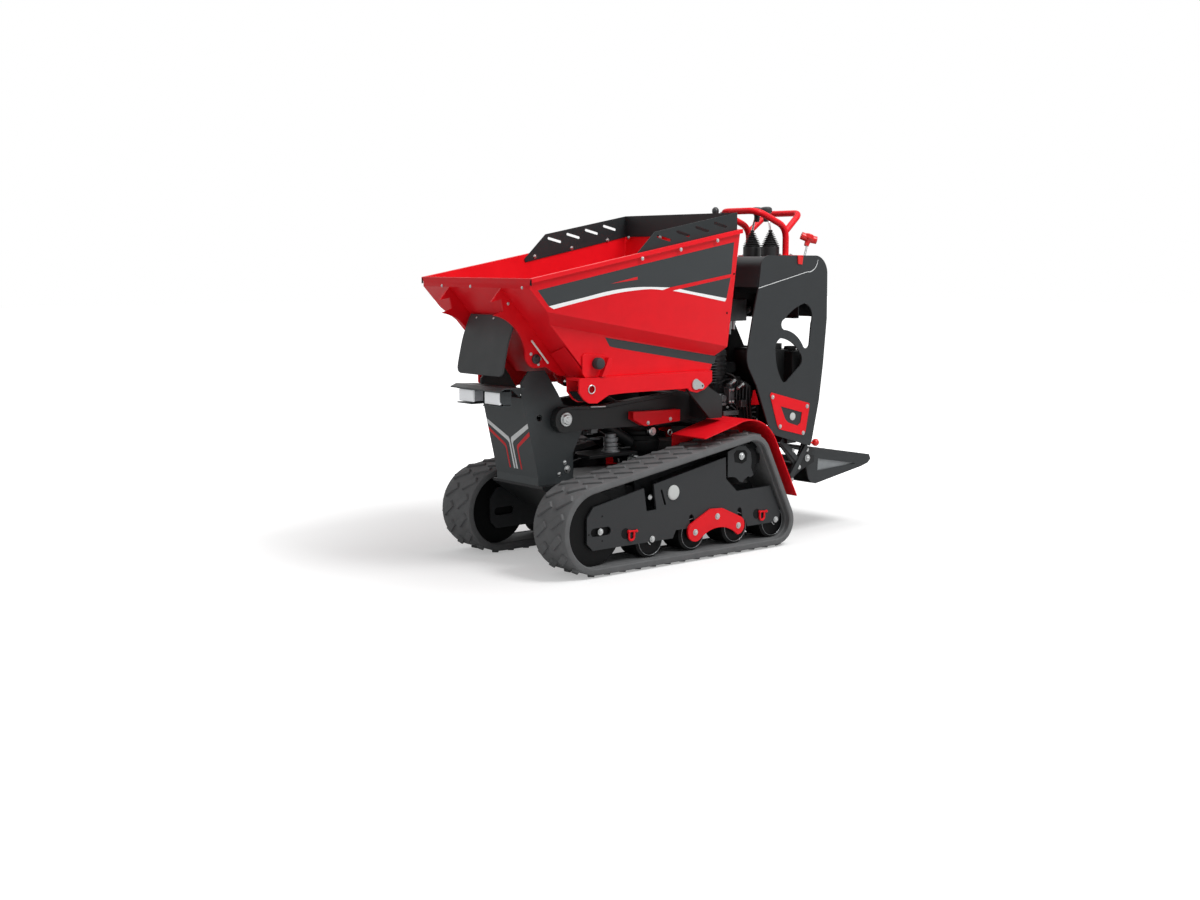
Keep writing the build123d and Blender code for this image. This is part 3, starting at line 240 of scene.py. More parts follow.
# calendered sheet rubber: even and matt, with a trace of the roller's grain
FLAP_RUBBER = Finish("calendered_sheet_rubber", "flap_rubber", "#464849", 0.62, Relief.MOULDED, 0.8, 0.06,
                     specular=0.3)
BOOT_RUBBER = Finish("moulded_boot_rubber", "boot_rubber", "#17181A", 0.5, Relief.MOULDED, 0.9, 0.05)
BUFFER_RUBBER = replace(BOOT_RUBBER, name="moulded_buffer_rubber", slot="buffer_rubber", colour="#2A2C2E",
                        roughness=0.7, depth_mm=0.08)
# zinc-plated steel: pale, soft gloss with faint turning marks
ZINC = Finish("zinc_plated_steel", "steel", "#C9CBCB", 0.32, Relief.BRUSHED, 0.5, 0.02, 1.0, mottle=0.12,
              mottle_mm=12, edge_mm=0.5)
# rolling surfaces polished by wear: darker and duller than plating
WORN_IRON = Finish("rubbed_roller_iron", "steel", "#8A8C8E", 0.4, Relief.BRUSHED, 0.6, 0.03, 1.0, mottle=0.3,
                   mottle_mm=15, edge_mm=0.4)
# mill-finish sheet without paint: flat, light grey
BARE_SHEET = Finish("bare_sheet_steel", "steel", "#8E9294", 0.5, Relief.BRUSHED, 0.8, 0.02, 0.6, mottle=0.15,
                    mottle_mm=40)
# hard-chromed rod: mirror-bright with only a hint of grinding
CHROME = Finish("hard_chrome", "chrome_rod", "#D8DADC", 0.1, Relief.BRUSHED, 0.4, 0.004, 1.0, mottle=0.03)
# white-painted round bar: smooth, slightly creamy
WHITE_ROD = Finish("white_painted_rod", "steel", "#E8E8E4", 0.35, Relief.SPRAYED, 1.5, 0.02, edge_mm=0.5)
# grey-iron casting under black enamel: pebbled, dull
CAST_ENAMEL = Finish("enamelled_cast_iron", "cast_black", "#08090A", 0.55, Relief.CAST, 2.5, 0.15, mottle=0.2,
                     specular=0.15)
# bent steel pipe in black e-coat: even, half-gloss
PIPE_BLACK = Finish("black_coated_pipe", "cast_black", "#101214", 0.36, Relief.SMOOTH, 20, 0.02, mottle=0.05)
# dead black: painted shade in holes, openings and recesses, and the black air duct
BLACK_AND_PAINTED_SHADE = Finish("matt_black_and_painted_shade", "cast_black", "#0B0C0D", 0.75, Relief.MOULDED, 1.0, 0.03,
                      specular=0.2)
# pressure die-cast aluminium: grey, slightly granular
DIE_CAST = Finish("die_cast_aluminium", "engine_metal", "#77797B", 0.5, Relief.CAST, 1.5, 0.08, 0.9,
                  mottle=0.25, mottle_mm=20, edge_mm=0.8)
# engine castings: darker than the die casting
ENGINE_IRON = Finish("dull_engine_casting", "engine_metal", "#4A4C4E", 0.55, Relief.CAST, 1.8, 0.1, 0.7,
                     mottle=0.4, mottle_mm=25, edge_mm=0.8)
# rotomoulded polyethylene: black, waxy, softly dimpled
POLYETHYLENE = Finish("rotomoulded_polyethylene", "tank_plastic", "#141617", 0.45, Relief.MOULDED, 3.0, 0.08)
GLOSS_KNOB = Finish("moulded_nylon_knob", "tank_plastic", "#26282A", 0.35, Relief.MOULDED, 1.0, 0.02)
RED_KNOB = Finish("moulded_red_knob", "red_paint", "#E01A18", 0.32, Relief.MOULDED, 1.0, 0.02, edge_mm=0.6)
# vinyl film: thin, even, satin
DARK_FILM = Finish("grey_vinyl_film", "dark_paint", "#333739", 0.42, Relief.SMOOTH, 40, 0.02, mottle=0.03,
                   specular=0.35)
WHITE_FILM = Finish("white_vinyl_film", "lamp", "#F2F3F3", 0.38, Relief.SMOOTH, 40, 0.02, mottle=0.02)
SILVER_FILM = replace(WHITE_FILM, name="silver_vinyl_film", colour="#E2E4E5")
RED_FILM = replace(WHITE_FILM, name="red_vinyl_film", slot="red_paint", colour="#D81820", specular=0.3)
# clear polycarbonate over white reflectors: reads as bright white
LAMP_LENS = Finish("lit_lamp_lens", "lamp", "#F6F8FB", 0.15, Relief.SMOOTH, 20, 0.02, mottle=0.02, glow=0.2)
# silver-painted lamp case: soft light grey
LAMP_BODY = Finish("silver_lamp_case", "lamp", "#B2B5BB", 0.45, Relief.CAST, 1.2, 0.05, edge_mm=0.6)
PALE_CAP = Finish("pale_grey_plastic_cap", "lamp", "#C9CCCA", 0.5, Relief.MOULDED, 1.0, 0.02)

NODE_FINISHES = {
    RED_COAT: ("handlebar", "panel_trims", "skip_tub", "skip_rails", "skip_ribs", "arm_brackets",
               "left_mudguard", "right_mudguard", "left_bogie_plate", "right_bogie_plate",
               "lashing_shackles"),
    PANEL_COAT: ("left_console_panel", "right_console_panel", "console_box", "platform"),
    TOWER_COAT: ("tower", "tower_hood"),
    ARM_COAT: ("lift_arms",),
    GUARD_COAT: ("spill_guards",),
    FRAME_COAT: ("chassis_frame", "platform_bracket", "lift_barrel", "tip_barrel"),
    PLATE_COAT: ("left_track_frame", "right_track_frame"),
    BELT_RUBBER: ("left_track", "right_track"),
    FLAP_RUBBER: ("rubber_flap",),
    BOOT_RUBBER: ("lever_boots",),
    BUFFER_RUBBER: ("skip_bumpers",),
    ZINC: ("skip_pins", "arm_pins", "levers", "lift_pins"),
    CHROME: ("lift_rod", "tip_rod"),
    CAST_ENAMEL: ("left_rollers", "right_rollers", "left_sprocket", "right_sprocket"),
    ENGINE_IRON: ("engine",),
    DIE_CAST: ("control_valve",),
    POLYETHYLENE: ("fuel_tank",),
    LAMP_LENS: ("work_lamps",),
}


# ---------------------------------------------------------------- mesh making
def arc(start: Point, middle: Point, end: Point, steps: int = 10) -> list[Point]:
    """Points on the circle that goes through three points, from the first to the last.

    Args:
        start: the first point.
        middle: a point on the way.
        end: the last point.
        steps: straight bits of the arc.
    Returns:
        The points.
    """
    (ax, ay), (bx, by), (cx, cy) = start, middle, end
    d = 2 * (ax * (by - cy) + bx * (cy - ay) + cx * (ay - by))
    a2, b2, c2 = ax * ax + ay * ay, bx * bx + by * by, cx * cx + cy * cy
    ox = (a2 * (by - cy) + b2 * (cy - ay) + c2 * (ay - by)) / d
    oy = (a2 * (cx - bx) + b2 * (ax - cx) + c2 * (bx - ax)) / d
    first, mid, last = (math.atan2(y - oy, x - ox) for x, y in (start, middle, end))
    sweep = (last - first) % (2 * math.pi)
    if (mid - first) % (2 * math.pi) > sweep:
        sweep -= 2 * math.pi
    radius = math.hypot(ax - ox, ay - oy)
    angles = [first + sweep * i / steps for i in range(steps + 1)]
    return [(ox + radius * math.cos(t), oy + radius * math.sin(t)) for t in angles]


def round_about(centre: Point, radius: float, start: float, step: float, count: int) -> list[Point]:
    """Points on a circle at equal steps.

    Args:
        centre: the circle's middle.
        radius: its radius.
        start: angle of the first point, in degrees.
        step: angle from each to the next, in degrees.
        count: how many points.
    Returns:
        The points.
    """
    angles = [math.radians(start + step * k) for k in range(count)]
    return [(centre[0] + radius * math.cos(t), centre[1] + radius * math.sin(t)) for t in angles]


def curve_through(points: Sequence[Point], steps: int = 6) -> list[Point]:
    """Points on a smooth curve through the given ones, with so many steps from each to the next.

    Args:
        points: the given points.
        steps: straight bits between two of them.
    Returns:
        The curve's points.
    """
    ends = [points[0], *points, points[-1]]
    curve = []
    for a, b, c, d in zip(ends, ends[1:], ends[2:], ends[3:]):
        for i in range(steps):
            t = i / steps
            curve.append(tuple(0.5 * (2 * q + (r - p) * t + (2 * p - 5 * q + 4 * r - s) * t * t
                                      + (3 * q - p - 3 * r + s) * t ** 3)
                               for p, q, r, s in zip(a, b, c, d)))
    return [*curve, points[-1]]


def bent(places: Sequence[Vector], bend_mm: float, steps: int = 8) -> list[Vector]:
    """Middle line of a steel tube bent at the inner places, as a tube bender leaves it.

    Args:
        places: ends and corners of the tube.
        bend_mm: how far before and after a corner the bend starts and ends.
        steps: straight bits of each bend.
    Returns:
        The places that the line goes through.
    """
    line = [places[0]]
    for before, corner, after in zip(places, places[1:], places[2:]):
        reach = min(bend_mm * MM, (before - corner).length * 0.49, (after - corner).length * 0.49)
        start = corner + (before - corner).normalized() * reach
        end = corner + (after - corner).normalized() * reach
        for i in range(steps + 1):
            t = i / steps
            line.append(start * (1 - t) ** 2 + corner * 2 * t * (1 - t) + end * t * t)
    return [*line, places[-1]]


class Shape:
    """A mesh under construction, which becomes one finished piece."""

    def __init__(self, name: str) -> None:
        """Start an empty mesh for the piece of that name."""
        self.name = name
        self.mesh = bmesh.new()

    def prism(self, outline: Sequence[Vector], depth: Vector) -> None:
        """Add a closed prism.

        Args:
            outline: corners of its first face, in order.
            depth: vector from the first face to the second.
        """
        bottom = [self.mesh.verts.new(p) for p in outline]
        upper = [self.mesh.verts.new(p + depth) for p in outline]
        self.mesh.faces.new(bottom)
        self.mesh.faces.new(reversed(upper))
        for i, corner in enumerate(bottom):
            j = (i + 1) % len(bottom)
            self.mesh.faces.new((corner, upper[i], upper[j], bottom[j]))

    def slab(self, outline: Iterable[Point], left: float, thickness: float) -> None:
        """Add a plate that stands in a side plane: its outline is forward and up, its outer face at left."""
        sign = 1 if left > 0 else -1
        self.prism([at(u, left, z) for u, z in outline], Vector((0, -sign * thickness * MM, 0)))

    def box(self, low: Sequence[float], high: Sequence[float]) -> None:
        """Add a box between two corners, each forward, left and up.

        Args:
            low: its lower right rear corner.
            high: its upper left front corner.
        """
        (u0, y0, z0), (u1, y1, z1) = low, high
        outline = [at(u0, y0, z0), at(u1, y0, z0), at(u1, y1, z0), at(u0, y1, z0)]
        self.prism(outline, Vector((0, 0, (z1 - z0) * MM)))

    def lathe(self, base: Vector, axis: Vector, profile: Sequence[Point], sides: int = 24) -> None:
        """Add a turned solid.

        Args:
            base: where the axis starts.
            axis: direction of the axis.
            profile: distance along the axis and radius, in millimetres, from the base on.
            sides: faces round the axis.
        """
        turn = Vector(axis).to_track_quat("Z", "Y").to_matrix()
        self.skin([[base + turn @ Vector((
            radius * MM * math.cos(2 * math.pi * k / sides),
            radius * MM * math.sin(2 * math.pi * k / sides), along * MM)) for k in range(sides)]
            for along, radius in profile])

    @classmethod
    def like(cls, node: str, name: str) -> "Shape":
        """Start a piece from a merged copy of a frame node's mesh, with its flat faces whole again.

        Args:
            node: name of the frame node.
            name: name of the piece.
        Returns:
            The shape, open to changes.
        """
        shape = cls(name)
        shape.mesh.from_mesh(frame["nodes"][node].data)
        bmesh.ops.remove_doubles(shape.mesh, verts=shape.mesh.verts, dist=MERGE_MM * MM)
        bmesh.ops.dissolve_limit(shape.mesh, angle_limit=math.radians(FLAT_DEGREES), verts=shape.mesh.verts,
                                 edges=shape.mesh.edges)
        return shape

    def tube(self, path: Sequence[Vector], radius: float, sides: int = 14, closed: bool = False) -> None:
        """Add a round bar along a path.

        Args:
            path: places on its middle line.
            radius: its radius in millimetres.
            sides: faces round it.
            closed: whether the last place joins the first.
        """
        rings, across = [], None
        for i, place in enumerate(path):
            before = path[i - 1] if i or closed else place
            after = path[(i + 1) % len(path)] if i + 1 < len(path) or closed else place
            along = (after - before).normalized()
            across = along.orthogonal() if across is None else across - along * across.dot(along)
            across.normalize()
            other = along.cross(across)
            rings.append([place + (across * math.cos(t) + other * math.sin(t)) * radius * MM
                          for t in (2 * math.pi * k / sides for k in range(sides))])
        self.skin(rings, closed)

    def skin(self, rings: Sequence[Sequence[Vector]], closed: bool = False) -> None:
        """Join rings of places by a skin, with a cap on each end or the last ring joined to the first.

        Args:
            rings: the rings, all with as many places.
            closed: whether the last ring is joined to the first.
        """
        corners = [[self.mesh.verts.new(place) for place in ring] for ring in rings]
        pairs = list(zip(corners, corners[1:])) + ([(corners[-1], corners[0])] if closed else [])
        for lower, upper in pairs:
            for k, corner in enumerate(lower):
                n = (k + 1) % len(lower)
                self.mesh.faces.new((corner, lower[n], upper[n], upper[k]))
        if not closed:
            self.mesh.faces.new(reversed(corners[0]))
            self.mesh.faces.new(corners[-1])

    def ring(self, centre: Vector, axis: Vector, radius: float, wire: float) -> None:
        """Add a round ring of the given middle radius and wire radius.

        Args:
            centre: its middle.
            axis: direction of its axis.
            radius: middle radius in millimetres.
            wire: radius of its wire.
        """
        turn = Vector(axis).to_track_quat("Z", "Y").to_matrix()
        self.tube([centre + turn @ Vector((math.cos(t), math.sin(t), 0)) * radius * MM
                   for t in (2 * math.pi * k / 28 for k in range(28))], wire, 8, closed=True)

    def finish(self, finish: Finish, body: str, replaces: Sequence[str] = (), bevel_mm: float = 0.0,
               smooth: bool = False) -> bpy.types.Object:
        """Turn the mesh into a piece of the machine.

        Args:
            finish: its finish.
            body: the frame body that it rides on.
            replaces: frame nodes that it stands for.
            bevel_mm: width of a bevel on its sharp edges.
            smooth: whether faces that nearly line up are shaded as one.
        Returns:
            The finished piece.
        """
        bmesh.ops.recalc_face_normals(self.mesh, faces=self.mesh.faces)
        data = bpy.data.meshes.new(self.name)
        self.mesh.to_mesh(data)
        self.mesh.free()
        return settle(data, self.name, finish, body, replaces, bevel_mm, smooth)


def settle(data: bpy.types.Mesh, name: str, finish: Finish, body: str, replaces: Sequence[str] = (),
           bevel_mm: float = 0.0, smooth: bool = False) -> bpy.types.Object:
    """Link a finished mesh as a piece, with its finish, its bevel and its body.

    Args:
        data: the mesh.
        name: name of the piece.
        finish: its finish.
        body: the frame body that it rides on.
        replaces: frame nodes that it stands for.
        bevel_mm: width of a bevel on its sharp edges.
        smooth: whether faces that nearly line up are shaded as one.
    Returns:
        The finished piece.
    """
    piece = bpy.data.objects.new(name, data)
    bpy.context.scene.collection.objects.link(piece)
    if not data.materials:
        data.materials.append(finish.build())
    if smooth:
        data.shade_smooth()
        data.set_sharp_from_angle(angle=math.radians(SMOOTH_DEGREES))
    if bevel_mm:
        bevel = piece.modifiers.new("edges", "BEVEL")
        bevel.width = bevel_mm * MM
        bevel.segments = 2
        bevel.limit_method = "ANGLE"
    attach(piece, body)
    if replaces:
        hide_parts(*replaces)
    LOG.info("%s rides on %s in %s", name, body, finish.name)
    return piece


def grow(name: str, carrier: bpy.types.Mesh, tree: bpy.types.GeometryNodeTree,
         values: dict) -> bpy.types.Mesh:
    """Run a geometry tree on a carrier mesh and return the plain mesh that it makes.

    Args:
        name: name of the resulting mesh.
        carrier: mesh that the tree starts from.
        tree: the geometry tree.
        values: value of each named input.
    Returns:
        The resulting mesh, with its instances realized.
    """
    host = bpy.data.objects.new(name + "_host", carrier)
    bpy.context.scene.collection.objects.link(host)
    modifier = host.modifiers.new("grow", "NODES")
    modifier.node_group = tree
    for item in tree.interface.items_tree:
        if item.item_type == "SOCKET" and item.in_out == "INPUT" and item.name in values:
            modifier[item.identifier] = values[item.name]
    evaluated = host.evaluated_get(bpy.context.evaluated_depsgraph_get())
    made = bpy.data.meshes.new_from_object(evaluated)
    made.name = name
    host.modifiers.remove(modifier)
    bpy.data.objects.remove(host)
    return made


def new_tree(name: str, numbers: Sequence[tuple[str, str, float]]) -> tuple[bpy.types.GeometryNodeTree, dict]:
    """Start a geometry tree.

    Args:
        name: the tree's name.
        numbers: name, socket kind and default of each input besides the geometry.
    Returns:
        The tree, and its input sockets by name.
    """
    tree = bpy.data.node_groups.new(name, "GeometryNodeTree")
    tree.interface.new_socket("Geometry", in_out="INPUT", socket_type="NodeSocketGeometry")
    tree.interface.new_socket("Geometry", in_out="OUTPUT", socket_type="NodeSocketGeometry")
    for label, kind, default in numbers:
        socket = tree.interface.new_socket(label, in_out="INPUT", socket_type=kind)
        if kind != "NodeSocketMaterial":
            socket.default_value = default
    start = add_node(tree, "NodeGroupInput")
    return tree, {socket.name: socket for socket in start.outputs}


def moved(tree: bpy.types.GeometryNodeTree, part: bpy.types.NodeSocket, **moves) -> bpy.types.NodeSocket:
    """Add a step that moves, turns or scales a part, and return the socket that gives it out."""
    return add_node(tree, "GeometryNodeTransform", {"Geometry": part, **moves}).outputs["Geometry"]


def repeat(tree: bpy.types.GeometryNodeTree, given: dict, part: bpy.types.NodeSocket, **places) -> None:
    """End a tree: stand a copy of a part on each given point, and give out real copies in their finish.

    Args:
        tree: the geometry tree.
        given: its input sockets by name, with the points and the finish.
        part: socket of the part.
        places: rotation and scale of the copies, as values or sockets.
    """
    copies = add_node(tree, "GeometryNodeInstanceOnPoints", {
        "Points": given["Geometry"], "Instance": part, **places})
    real = add_node(tree, "GeometryNodeRealizeInstances", {"Geometry": copies.outputs["Instances"]})
    dressed = add_node(tree, "GeometryNodeSetMaterial", {
        "Geometry": real.outputs["Geometry"], "Material": given["Finish"]})
    add_node(tree, "NodeGroupOutput", {"Geometry": dressed.outputs["Geometry"]})


def seats(name: str, places: Sequence[Vector], label: str, values: Sequence[float]) -> bpy.types.Mesh:
    """Mesh of loose points that carries one named number at each, for a tree to grow on.

    Args:
        name: the mesh's name.
        places: the points.
        label: name of the number.
        values: its value at each point.
    Returns:
        The mesh.
    """
    carrier = bpy.data.meshes.new(name)
    carrier.from_pydata(places, [], [])
    carrier.attributes.new(label, "FLOAT", "POINT").data.foreach_set("value", values)
    return carrier


@dataclass(frozen=True)
class Bolts:
    """Hex-headed bolts on washers, set where a list says.

    Attributes:
        name: name of the piece.
        body: body that the bolts ride on.
        places: forward, left and up of each bolt's seat, with the head's size across flats.
        aim: direction in which the heads point.
        finish: finish of the bolts.
        domed: whether the heads are round instead of hexagonal.
    """

    name: str
    body: str
    places: Sequence[tuple[float, float, float, float]]
    aim: tuple[float, float, float] = (0, 1, 0)
    finish: Finish = ZINC
    domed: bool = False

    def build(self) -> bpy.types.Object:
        """Set the bolts with a geometry tree and return the piece.

        Returns:
            The bolts as one piece.
        """
        carrier = seats(self.name + "_seats", [at(u, y, z) for u, y, z, _ in self.places],
                        "size", [across * MM / 2 for *_, across in self.places])
        made = grow(self.name, carrier, self.tree(), {
            "Aim": self.aim, "Sides": 20 if self.domed else 6, "Finish": self.finish.build()})
        return settle(made, self.name, self.finish, self.body)

    @staticmethod
    def tree() -> bpy.types.GeometryNodeTree:
        """The tree that stands a washer and a chamfered head on each seat.

        Returns:
            The tree, built once.
        """
        known = bpy.data.node_groups.get("bolt_heads")
        if known:
            return known
        tree, given = new_tree("bolt_heads", (
            ("Aim", "NodeSocketVector", (0, 0, 1)), ("Sides", "NodeSocketInt", 6),
            ("Finish", "NodeSocketMaterial", 0)))
        hexagon = {"Vertices": given["Sides"]}
        washer = add_node(tree, "GeometryNodeMeshCylinder", {"Vertices": 20, "Radius": 1.38, "Depth": 0.24})
        head = add_node(tree, "GeometryNodeMeshCylinder", {**hexagon, "Radius": 1.0, "Depth": 0.5})
        chamfer = add_node(tree, "GeometryNodeMeshCone", {
            **hexagon, "Radius Top": 0.78, "Radius Bottom": 1.0, "Depth": 0.14})
        thread = add_node(tree, "GeometryNodeMeshCylinder", {"Vertices": 12, "Radius": 0.45, "Depth": 0.3})
        whole = add_node(tree, "GeometryNodeJoinGeometry")
        tree.links.new(washer.outputs["Mesh"], whole.inputs["Geometry"])
        for part, height in ((head, 0.37), (chamfer, 0.62), (thread, 0.82)):
            raised = moved(tree, part.outputs["Mesh"], Translation=(0, 0, height))
            tree.links.new(raised, whole.inputs["Geometry"])
        turn = add_node(tree, "FunctionNodeAlignRotationToVector", {"Vector": given["Aim"]}, axis="Z")
        size = add_node(tree, "GeometryNodeInputNamedAttribute", {"Name": "size"}, data_type="FLOAT")
        repeat(tree, given, whole.outputs["Geometry"], Rotation=turn.outputs["Rotation"],
               Scale=size.outputs["Attribute"])
        return tree


def side_bolts(name: str, body: str, sign: int, left: float, spots: Sequence[tuple[float, float, float]],
               domed: bool = False) -> None:
    """Set bolts that face outwards on one side.

    Args:
        name: name of the piece.
        body: body that they ride on.
        sign: 1 for the left side, -1 for the right.
        left: distance of their seats from the middle plane.
        spots: forward, up and size across flats of each.
        domed: whether their heads are round.
    """
    places = [(u, sign * left, z, across) for u, z, across in spots]
    Bolts(name, body, places, (0, sign, 0), domed=domed).build()


# ---------------------------------------------------------------- skip
@dataclass(frozen=True)
class SkipDress:
    """Films, bolts, bumpers and small fittings on the skip.

    Attributes:
        wall: half the width of the skip's upper walls.
        floor_wall: half the width of its lower walls.
        film: thickness of the vinyl films.
        rim: half the width over the rims.
        rib: distance of the front ribs' outer faces from the middle plane.
        bumper: forward and up of the bumpers' middles.
        bush: forward and up of the tipping link's bushes.
        rail: distance of the rails' outer faces from the middle plane.
        rim_foot: forward and up of the front end of the rim's lower edge on the frame's tub.
        rim_slope: rise of that edge towards the rear.
        rim_lift: how much higher the rim's lower edge lies than on the frame's tub.
        guard_foot: forward and up of the front and rear ends of the guards' lower edges on the frame.
        guard_lift: how much higher the guards' lower edges lie than on the frame's guards.
        pivot: forward and up of the skip's main pins.
    """

    wall: float = 322
    floor_wall: float = 283
    film: float = 0.3
    rim: float = 334
    rib: float = 160
    bumper: Point = (391, 737)
    bush: Point = (424, 649)
    rail: float = 304
    rim_foot: Point = (701, 1005)
    rim_slope: float = 0.179
    rim_lift: float = 11
    guard_foot: tuple[Point, Point] = ((245, 1060), (-256, 1160))
    guard_lift: float = 23
    pivot: Point = (-75, 642)

    def build(self) -> None:
        """Make all the skip's pieces."""
        self.tub()
        self.guards()
        self.films()
        self.bolts()
        self.flap()
        for sign, side_name in NAMED_SIDES:
            self.bumpers(sign, side_name)
            self.fittings(sign, side_name)
        self.prop_rod()

    def tub(self) -> None:
        """Dress the tub with a slimmer rolled rim: the rim's lower edge lies higher than on the plain tub."""
        shape = Shape.like("skip_tub", "skip_shell")
        for corner in shape.mesh.verts:
            forward = (corner.co.x - DATUM) / MM
            low_line = self.rim_foot[1] + (self.rim_foot[0] - forward) * self.rim_slope
            if abs(corner.co.y) > (self.wall - 0.5) * MM and abs(corner.co.z / MM - low_line) < 1.2:
                corner.co.z += self.rim_lift * MM
        shape.finish(RED_COAT, "skip", ("skip_tub",), bevel_mm=1.2, smooth=True)

    def guards(self) -> None:
        """Dress the spill guards, whose lower edges lie higher than on the frame's plain sheets."""
        shape = Shape.like("spill_guards", "guard_sheets")
        (front_u, front_z), (rear_u, rear_z) = self.guard_foot
        slope = (rear_z - front_z) / (front_u - rear_u)
        for corner in shape.mesh.verts:
            forward, up = (corner.co.x - DATUM) / MM, corner.co.z / MM
            on_side = abs(up - front_z - (front_u - forward) * slope) < 2
            on_rear = up < rear_z + 1 and forward < rear_u + 1
            if on_side or on_rear:
                corner.co.z += self.guard_lift * MM
        shape.finish(GUARD_COAT, "skip", ("spill_guards",), smooth=True)

    def films(self) -> None:
        """Cut and lay the films on both walls."""
        crest = curve_through([(622, 939), (481, 964), (352, 987), (225, 998), (80, 995)])
        border = curve_through([(601, 929), (481, 952), (319, 979), (184, 990), (115, 986)])
        upper = [(668, 992), (637, 998), (226, 1074), (-237, 1157), (-224, 1041), *reversed(crest)]
        tail = [(31, 989), (-221, 1028), (-201, 952), (-26, 979)]
        white = [*crest, *reversed(border)]
        white_tail = [(66, 983), (31, 989), (-26, 979), (-201, 952), (-194, 940), (-26, 969)]
        strip = [(347, 825), (326, 793), (306, 788), (-177, 708), (-191, 738), (-139, 746)]
        wedge = [(352, 1011), (232, 1034), (232, 1024)]
        dark_cuts = ((self.wall, upper), (self.wall, tail), (self.floor_wall, strip))
        white_cuts = ((self.wall, white), (self.wall, white_tail))
        for finish, name, walls in ((DARK_FILM, "skip_dark_film", dark_cuts),
                                    (WHITE_FILM, "skip_white_film", white_cuts)):
            shape = Shape(name)
            for sign in SIDES:
                for wall, outline in walls:
                    shape.slab(outline, sign * (wall + self.film), self.film - 0.02)
            shape.finish(finish, "skip")
        shape = Shape("skip_red_film")
        for sign in SIDES:
            shape.slab(wedge, sign * (self.wall + 2 * self.film), self.film)
        shape.finish(RED_FILM, "skip")

    def bolts(self) -> None:
        """Set the bolts of the rim, the lip, the flap and the guards, and black discs of painted shade in the
        walls' holes.
        """
        for sign, side_name in NAMED_SIDES:
            side_bolts(f"rim_bolts_{side_name}", "skip", sign, self.rim,
                       ((219, 1097, 10), (38, 1129, 10), (-142, 1162, 10)))
            guard = [(u, sign * (self.wall - 7.5), z, 12) for u, z in ((201, 1105), (21, 1138), (-161, 1170))]
            Bolts(f"guard_bolts_{side_name}", "skip", guard, (0, -sign, 0)).build()
            # painted shade: a black disc in each hole of the wall
            holes = Shape(f"wall_hole_shade_{side_name}")
            for u, z in ((-238, 1041), (-204, 898)):
                holes.lathe(at(u, sign * self.wall, z), outward(sign), ((0, 4), (0.8, 4), (1.1, 2.5)), 12)
            holes.finish(BLACK_AND_PAINTED_SHADE, "skip")
        Bolts("lip_bolts", "skip", [(701, y, 1001, 8) for y in (-200, -22, 280)], (1, 0, 0)).build()
        Bolts("flap_bolts", "skip", [(626, y, 889, 9) for y in (-93, 12, 117)], (0.9, 0, 0.45)).build()
        rear = [(-249, y, 1180, 12) for y in (-290, -100, 100, 290)]
        Bolts("rear_guard_bolts", "skip", rear, (1, 0, 0)).build()

    def flap(self) -> None:
        """Hang the rubber flap between the ribs, in a curve and with rounded lower corners."""
        hang = curve_through([(620.6, 902), (640, 862), (657, 818), (669, 772), (678, 732), (684, 694)], 8)
        half, corner, thick = 139, 24, 7
        rows = []
        for u, z in hang:
            left_over = z - hang[-1][1]
            inset = corner - math.sqrt(max(0, corner ** 2 - max(0, corner - left_over) ** 2))
            rows.append((u, z, half - inset))
        shape = Shape("front_flap")
        rings = []
        for i, (u, z, reach) in enumerate(rows):
            near, far = rows[max(i - 1, 0)], rows[min(i + 1, len(rows) - 1)]
            out = Vector((near[1] - far[1], far[0] - near[0])).normalized() * thick
            rings.append([at(u, -reach, z), at(u, reach, z), at(u - out.x, reach, z - out.y),
                          at(u - out.x, -reach, z - out.y)])
        shape.skin(rings)
        shape.finish(FLAP_RUBBER, "skip", ("rubber_flap",), bevel_mm=1.5, smooth=True)

    def bumpers(self, sign: int, side_name: str) -> None:
        """Make the rubber bumper of one side, its plate and its gusset.

        Args:
            sign: 1 for the left side, -1 for the right.
            side_name: the word for that side.
        """
        u, z = self.bumper
        foot = self.floor_wall + 0.3
        plate = Shape(f"bumper_plate_{side_name}")
        outline = [(345, 689), (440, 689), (452, 705), (452, 764), (440, 772), (352, 762), (345, 752)]
        plate.slab(outline, sign * (foot + 6), 6)
        gusset = [(366, 690), (382, 690), (350, 757), (334, 750), (339, 727)]
        plate.slab(gusset, sign * (foot + 26), 20)
        plate.finish(RED_COAT, "skip", ("skip_bumpers",) if sign > 0 else (), bevel_mm=1.0)
        block = Shape(f"bumper_block_{side_name}")
        block.lathe(at(u, sign * (foot + 6), z), outward(sign),
                    ((0, 19), (3, 20.5), (20, 20.5), (25, 18.5), (27, 14), (27.6, 6)), 28)
        block.finish(BUFFER_RUBBER, "skip", smooth=True)

